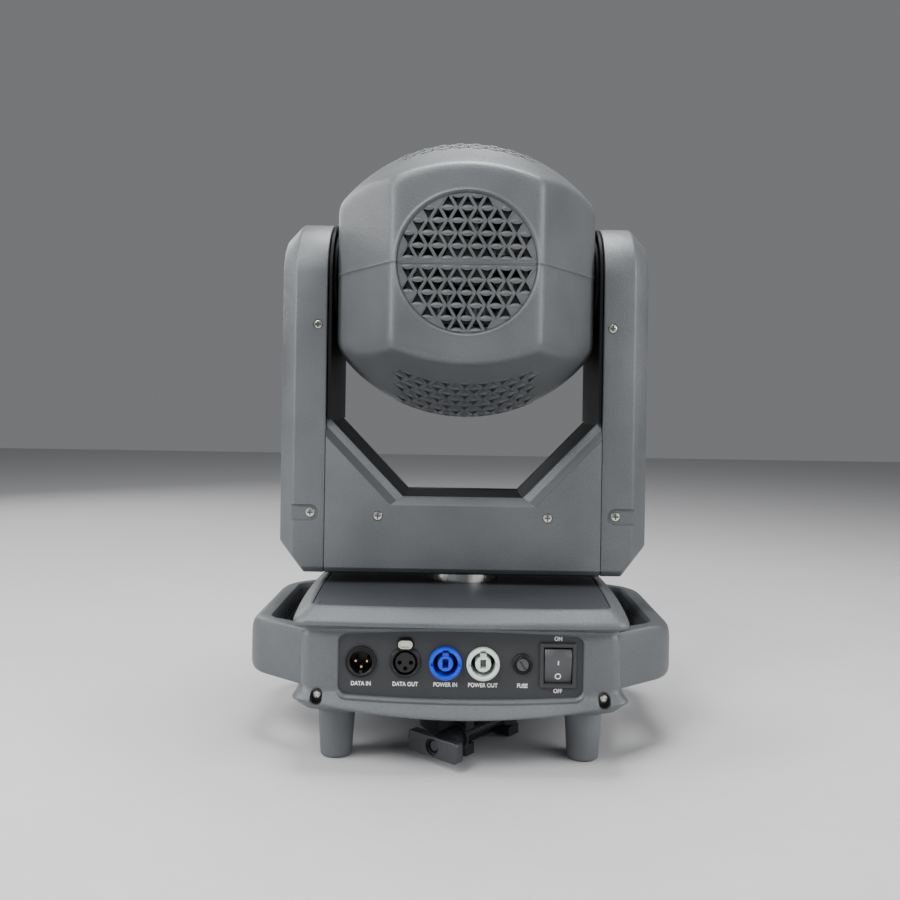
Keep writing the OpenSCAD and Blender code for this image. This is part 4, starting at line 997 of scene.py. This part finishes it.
def data_out_tab():
    """Bright oval tab with a dished face. Each level is a share of its width and height, and a height."""
    levels = ((1.0, 1.0, 1.1), (1.0, 1.0, 3.6), (0.93, 0.88, 4.3), (0.78, 0.66, 4.3), (0.7, 0.55, 3.7),
              (0.3, 0.3, 3.6))
    outline = rounded(TAB_HALF, TAB_H, TAB_H - 0.3)
    tab = Shape().loops([[(x * wide, y * tall, z) for x, y in outline] for wide, tall, z in levels],
                        on_panel("data_out_socket", TAB_UP))
    piece("data_out_tab", tab, "data_out_latch", ["data_out_latch"], "bright_metal", smooth=40)


def power(name, slot):
    """Round locking power socket: a notched collar, a slotted core and a dark back."""
    node = name + "_socket"
    place = on_panel(node)
    collar = Shape().lathe([(9.2, -14), (9.2, 4.2), (9.7, 4.9), (10.4, 5.1), (11.5, 4.6), (12.2, 3.4),
                            (12.2, 0), (10.5, 0), (10.5, -15)], place, 72, ring=True)
    collar_obj = to_object(name + "_detail", collar, (MATS[slot],))
    notches = Shape()
    for turn, half in ((0, 1.5), (180, 1.5), (90, 2.2)):
        notches.box((8.0, -half, 1.5), (10.9, half, 8), place @ Matrix.Rotation(math.radians(turn), 4, "Z"))
    combine(collar_obj, notches)
    core = Shape().lathe([(5.9, -14.5), (5.9, 2.2), (5.4, 2.9)], place, 48)
    core.box((-2.3, 4.4, -14.5), (2.3, 8.0, 2.4), place)
    core_obj = to_object(name + "_core", core, (MATS[slot],))
    combine(core_obj, Shape().box((-2.2, -3.2, -8), (2.2, 3.6, 6), place))
    finish_piece(collar_obj, "root", [node], 30)
    finish_piece(core_obj, "root", (), 30)
    back = Shape().lathe([(10.3, -16), (10.3, -13.8)], place, 48)
    piece(name + "_back", back, "root", (), "black_plastic", bevel=0.3)


def fuse():
    """Fuse holder's ring, and its cap with a coin slot."""
    place = on_panel("fuse_holder")
    ring = Shape().lathe([(4.75, -18), (4.75, 1.4), (5.1, 1.7), (5.6, 1.2), (6.3, 1.2), (6.6, 1.9),
                          (7.1, 2.0), (7.5, 1.6), (7.5, 0), (6.0, 0), (6.0, -19)], place, ring=True)
    piece("fuse_ring", ring, "root", ["fuse_holder"], "black_plastic", smooth=30)
    cap = Shape().lathe([(4.5, -16), (4.5, 2.9), (4.2, 3.4), (3.8, 3.5)], place, 48)
    cap_obj = to_object("fuse_knob", cap, (GREY_PLASTIC,))
    slot = Shape().box((-3.6, -0.7, 2.2), (3.6, 0.7, 6), place @ Matrix.Rotation(math.radians(125), 4, "Z"))
    combine(cap_obj, slot)
    finish_piece(cap_obj, "fuse_cap", ["fuse_cap"], 30)


def stack(levels, r, place):
    """Rounded rectangles of half width, half height and level, one above another."""
    return Shape().loops([[(x, y, z) for x, y in rounded(w, h, r)] for w, h, z in levels], place)


def switch():
    """Rocker switch in a stepped bezel, with its two marks."""
    place = on_panel("switch_frame")
    frame_levels = ((11.9, 14.9, -14.0), (11.9, 14.9, -0.1), (13.5, 16.5, 0.0), (13.5, 16.5, 1.7),
                    (13.0, 16.0, 2.2))
    bezel = to_object("switch_bezel", stack(frame_levels, 1.0, place), (BEZEL,))
    opening = ((10.6, 13.4, -12), (10.6, 13.4, 1.4), (11.3, 14.2, 1.5), (11.3, 14.2, 4))
    combine(bezel, stack(opening, 0.6, place))
    finish_piece(bezel, "root", ["switch_frame"])
    # The rocker turns with its joint, so it is drawn at the angle it rests at
    pivot = place @ Matrix.Translation((0, 0, -3.0)) @ Matrix.Rotation(math.radians(ROCKER_REST), 4, "X")
    half, face = ROCKER_HALF, ROCKER_FACE
    side = [(-half, face), (7.8, face), (half, 1.4), (half, 0.0), (2.5, -4.0), (-2.5, -4.0), (-half, 0.0)]
    rocker = Shape().loops([[(x, y, z) for y, z in side] for x in (-10.0, 10.0)], pivot)
    rocker_obj = to_object("switch_paddle", rocker, (GREY_PLASTIC,))
    soften(rocker_obj, 0.5)
    finish_piece(rocker_obj, "switch_rocker", ["switch_rocker"], 30)
    low, high = face - 0.4, face + 0.08
    marks = Shape().box((-0.42, 1.6, low), (0.42, 5.0, high), pivot)
    marks.lathe([(1.6, low), (2.3, low), (2.3, high), (1.6, high)],
                pivot @ Matrix.Translation((0, -7.3, 0)), 32, ring=True)
    piece("switch_marks", marks, "switch_rocker", (), "black_plastic", mats=(PRINT,))


def label(text, x, z):
    """Generic words printed beside a connector, as thin raised letters."""
    curve = bpy.data.curves.new("label", "FONT")
    curve.body = text
    curve.size = LABEL_SIZE * MM
    curve.extrude = 0.06 * MM
    curve.offset = 0.08 * MM
    curve.align_x = "CENTER"
    curve.align_y = "CENTER"
    curve.space_character = 1.02
    words = bpy.data.objects.new("label", curve)
    bpy.context.scene.collection.objects.link(words)
    graph = bpy.context.evaluated_depsgraph_get()
    mesh = bpy.data.meshes.new_from_object(words.evaluated_get(graph))
    bpy.data.objects.remove(words)
    place = Matrix.Translation((x * MM, (PANEL_Y - 0.05) * MM, z * MM)) @ FACE_REAR
    mesh.transform(place @ Matrix.Diagonal((LABEL_WIDTH, 1, 1, 1)))
    mesh.materials.clear()
    mesh.materials.append(PRINT)
    obj = bpy.data.objects.new("label_" + text.lower().replace(" ", "_"), mesh)
    bpy.context.scene.collection.objects.link(obj)
    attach(obj, "root")


data_in()
data_out()
data_out_tab()
power("power_in", "blue_plastic")
power("power_out", "white_plastic")
fuse()
switch()
for name in ("data_in", "data_out", "power_in", "power_out"):
    label(name.upper().replace("_", " "), middle(name + "_socket")[0], LABEL_Z)
label("FUSE", middle("fuse_holder")[0], LABEL_Z)
label("ON", middle("switch_frame")[0], 99.4)
label("OFF", middle("switch_frame")[0], 60.8)

# ---- clamp --------------------------------------------------------------------------------

CLAMP = Matrix.Rotation(math.radians(-40), 4, "Z") @ Matrix.Translation((17.7, 38.0, 0))
SWING_X, CLAMP_Z, CLAMP_Y = 45.0, 15.5, -60.5     # the bolt's side of the clamp, and the clamp's middle
EAR_Y = CLAMP_Y - 54.0
NUT_L, NUT_R, WING_HALF = 28.0, 8.4, 24
BOLT_TAIL = 28.0
THREAD_PITCH, THREAD_R, CORE_R = 3.0, 4.95, 4.15


def wing_nut():
    """A bar with round ends, a long hub behind it and a web on each side."""
    place = CLAMP @ Matrix.Translation((SWING_X, EAR_Y - 2.6 - NUT_L, CLAMP_Z)) @ FACE_FRONT
    obj = to_object("wing_nut_detail", Shape().prism(rounded(WING_HALF, 7.8, 2.6), 0, 8, place),
                    (MATS["clamp_metal"],))
    soften(obj, 0.8, 3)
    combine(obj, Shape().lathe([(NUT_R, 1), (NUT_R, NUT_L - 1.4), (NUT_R - 0.8, NUT_L)], place, 48), "UNION")
    outline = [(5, 23), (5, 6), (20.5, 6), (17.5, 9.5), (12.5, 12.5), (10, 17)]
    for turn in (0, 180):
        at = place @ Matrix.Rotation(math.radians(turn), 4, "Z")
        combine(obj, Shape().loops([[(x, y, z) for x, z in outline] for y in (-3.2, 3.2)], at), "UNION")
    combine(obj, Shape().lathe([(6.3, -2), (6.3, 0.2), (6.0, 2.2), (5.1, 2.2), (5.1, 40)], place, 40))
    finish_piece(obj, "wing_nut", ["wing_nut"], 30)


def swing_bolt():
    """Threaded bolt, drawn as rings, with the eye and pin that it swings on."""
    end_y = EAR_Y - BOLT_TAIL
    place = CLAMP @ Matrix.Translation((SWING_X, end_y, CLAMP_Z)) @ FACE_FRONT
    profile = [(3.6, 0.0), (4.6, 0.8)]
    for i in range(1, int((CLAMP_Y + 1 - end_y) / THREAD_PITCH)):
        z = i * THREAD_PITCH
        profile += [(THREAD_R, z), (THREAD_R, z + 0.9), (CORE_R, z + 1.8), (CORE_R, z + 2.2)]
    shape = Shape().lathe(profile, place, 32)
    eye = CLAMP @ Matrix.Translation((SWING_X + 1, CLAMP_Y + 8, CLAMP_Z))
    shape.lathe([(3.1, -6), (7.2, -6), (8, -5.2), (8, 5.2), (7.2, 6), (3.1, 6)], eye, 40, ring=True)
    shape.lathe([(2.3, -13.5), (2.9, -13), (2.9, 13), (2.3, 13.5)], eye, 24)
    piece("swing_bolt", shape, "bracket", ["clamp_bolt"], "clamp_metal", smooth=35)


wing_nut()
swing_bolt()

# ---- control side and inner pieces --------------------------------------------------------

SCREEN_X, SCREEN_Z = -19, 84


def menu():
    """Four round buttons with dished faces, and the glass of the display."""
    for i in range(1, 5):
        node = f"menu_button_{i}"
        (left, low, _), (right, high, _) = box_mm(node)
        x, _, z = middle(node)
        r = (right - left) / 2
        profile = [(r - 0.3, low), (r, low + 0.3), (r, high - 1.2), (r - 0.4, high - 0.3), (r - 1.2, high),
                   (r - 2.6, high - 0.5)]
        place = Matrix.Translation((x, 0, z)) @ FACE_FRONT
        piece(node + "_cap", Shape().lathe(profile, place, 40), node, [node], "body_grey")
    glass_y = box_mm("display")[1][1] - 0.45
    place = Matrix.Translation((SCREEN_X, glass_y, SCREEN_Z)) @ MIRROR_X @ FACE_FRONT
    screen = Shape().prism(rounded(26.4, 10.4, 1.0), 0, 0.4, place)
    piece("display_glass", screen, "root", (), "black_plastic", bevel=0.15, mats=(SCREEN,))


menu()

# The nodes that no piece stands for are shown as they are in CAD
for node, obj in frame["nodes"].items():
    slot_name = next(s["material_slot"] for s in frame["record"]["subparts"] if s["node"] == node)
    for holder in obj.material_slots:
        holder.material = MATS[slot_name]

# ---- camera, light and floor --------------------------------------------------------------

CAMERA_PLACE = (-0.003, -0.784, 0.2715)
ROLL = math.radians(0.9)
cam = bpy.data.cameras.new("camera")
cam.lens = 35.4
cam.sensor_width = 36
cam.shift_x = -0.012
cam.shift_y = -0.05
camera = bpy.data.objects.new("camera", cam)
camera.matrix_world = (Matrix.Translation(CAMERA_PLACE) @ Matrix.Rotation(math.radians(90), 4, "X")
                       @ Matrix.Rotation(ROLL, 4, "Z"))
bpy.context.scene.collection.objects.link(camera)
bpy.context.scene.camera = camera


def area_light(name, place, aim, size, power):
    """A square soft light that faces aim. Places are in metres and power in watts."""
    data = bpy.data.lights.new(name, "AREA")
    data.energy = power
    data.size = size
    light = bpy.data.objects.new(name, data)
    light.location = place
    light.rotation_euler = (Vector(aim) - Vector(place)).to_track_quat("-Z", "Y").to_euler()
    bpy.context.scene.collection.objects.link(light)


area_light("key", (-0.75, -1.15, 1.6), (0, 0, 0.3), 0.7, 29)
area_light("fill", (1.3, -1.3, 0.8), (0, 0, 0.25), 1.0, 11)
area_light("top", (0.03, 0.03, 1.35), (0, 0, 0.4), 0.6, 22)
area_light("left", (-1.4, -0.5, 0.8), (0, 0, 0.45), 0.7, 18)
area_light("right", (1.4, -0.5, 0.8), (0, 0, 0.45), 0.7, 14)
area_light("rim", (-1.2, 1.3, 1.0), (0, 0, 0.3), 0.9, 12)

floor_mesh = bpy.data.meshes.new("floor")
floor_mesh.from_pydata([(-4, -4, 0), (4, -4, 0), (4, 4, 0), (-4, 4, 0)], [], [(0, 1, 2, 3)])
floor_mesh.materials.append(material("floor", (0.52, 0.52, 0.53), 0.8, grain=60, bump=0.05, vary=0.02))
floor = bpy.data.objects.new("floor", floor_mesh)
bpy.context.scene.collection.objects.link(floor)
world = bpy.data.worlds.new("world")
world.use_nodes = True
world.node_tree.nodes["Background"].inputs[0].default_value = (0.82, 0.83, 0.85, 1)
world.node_tree.nodes["Background"].inputs[1].default_value = 0.22
bpy.context.scene.world = world
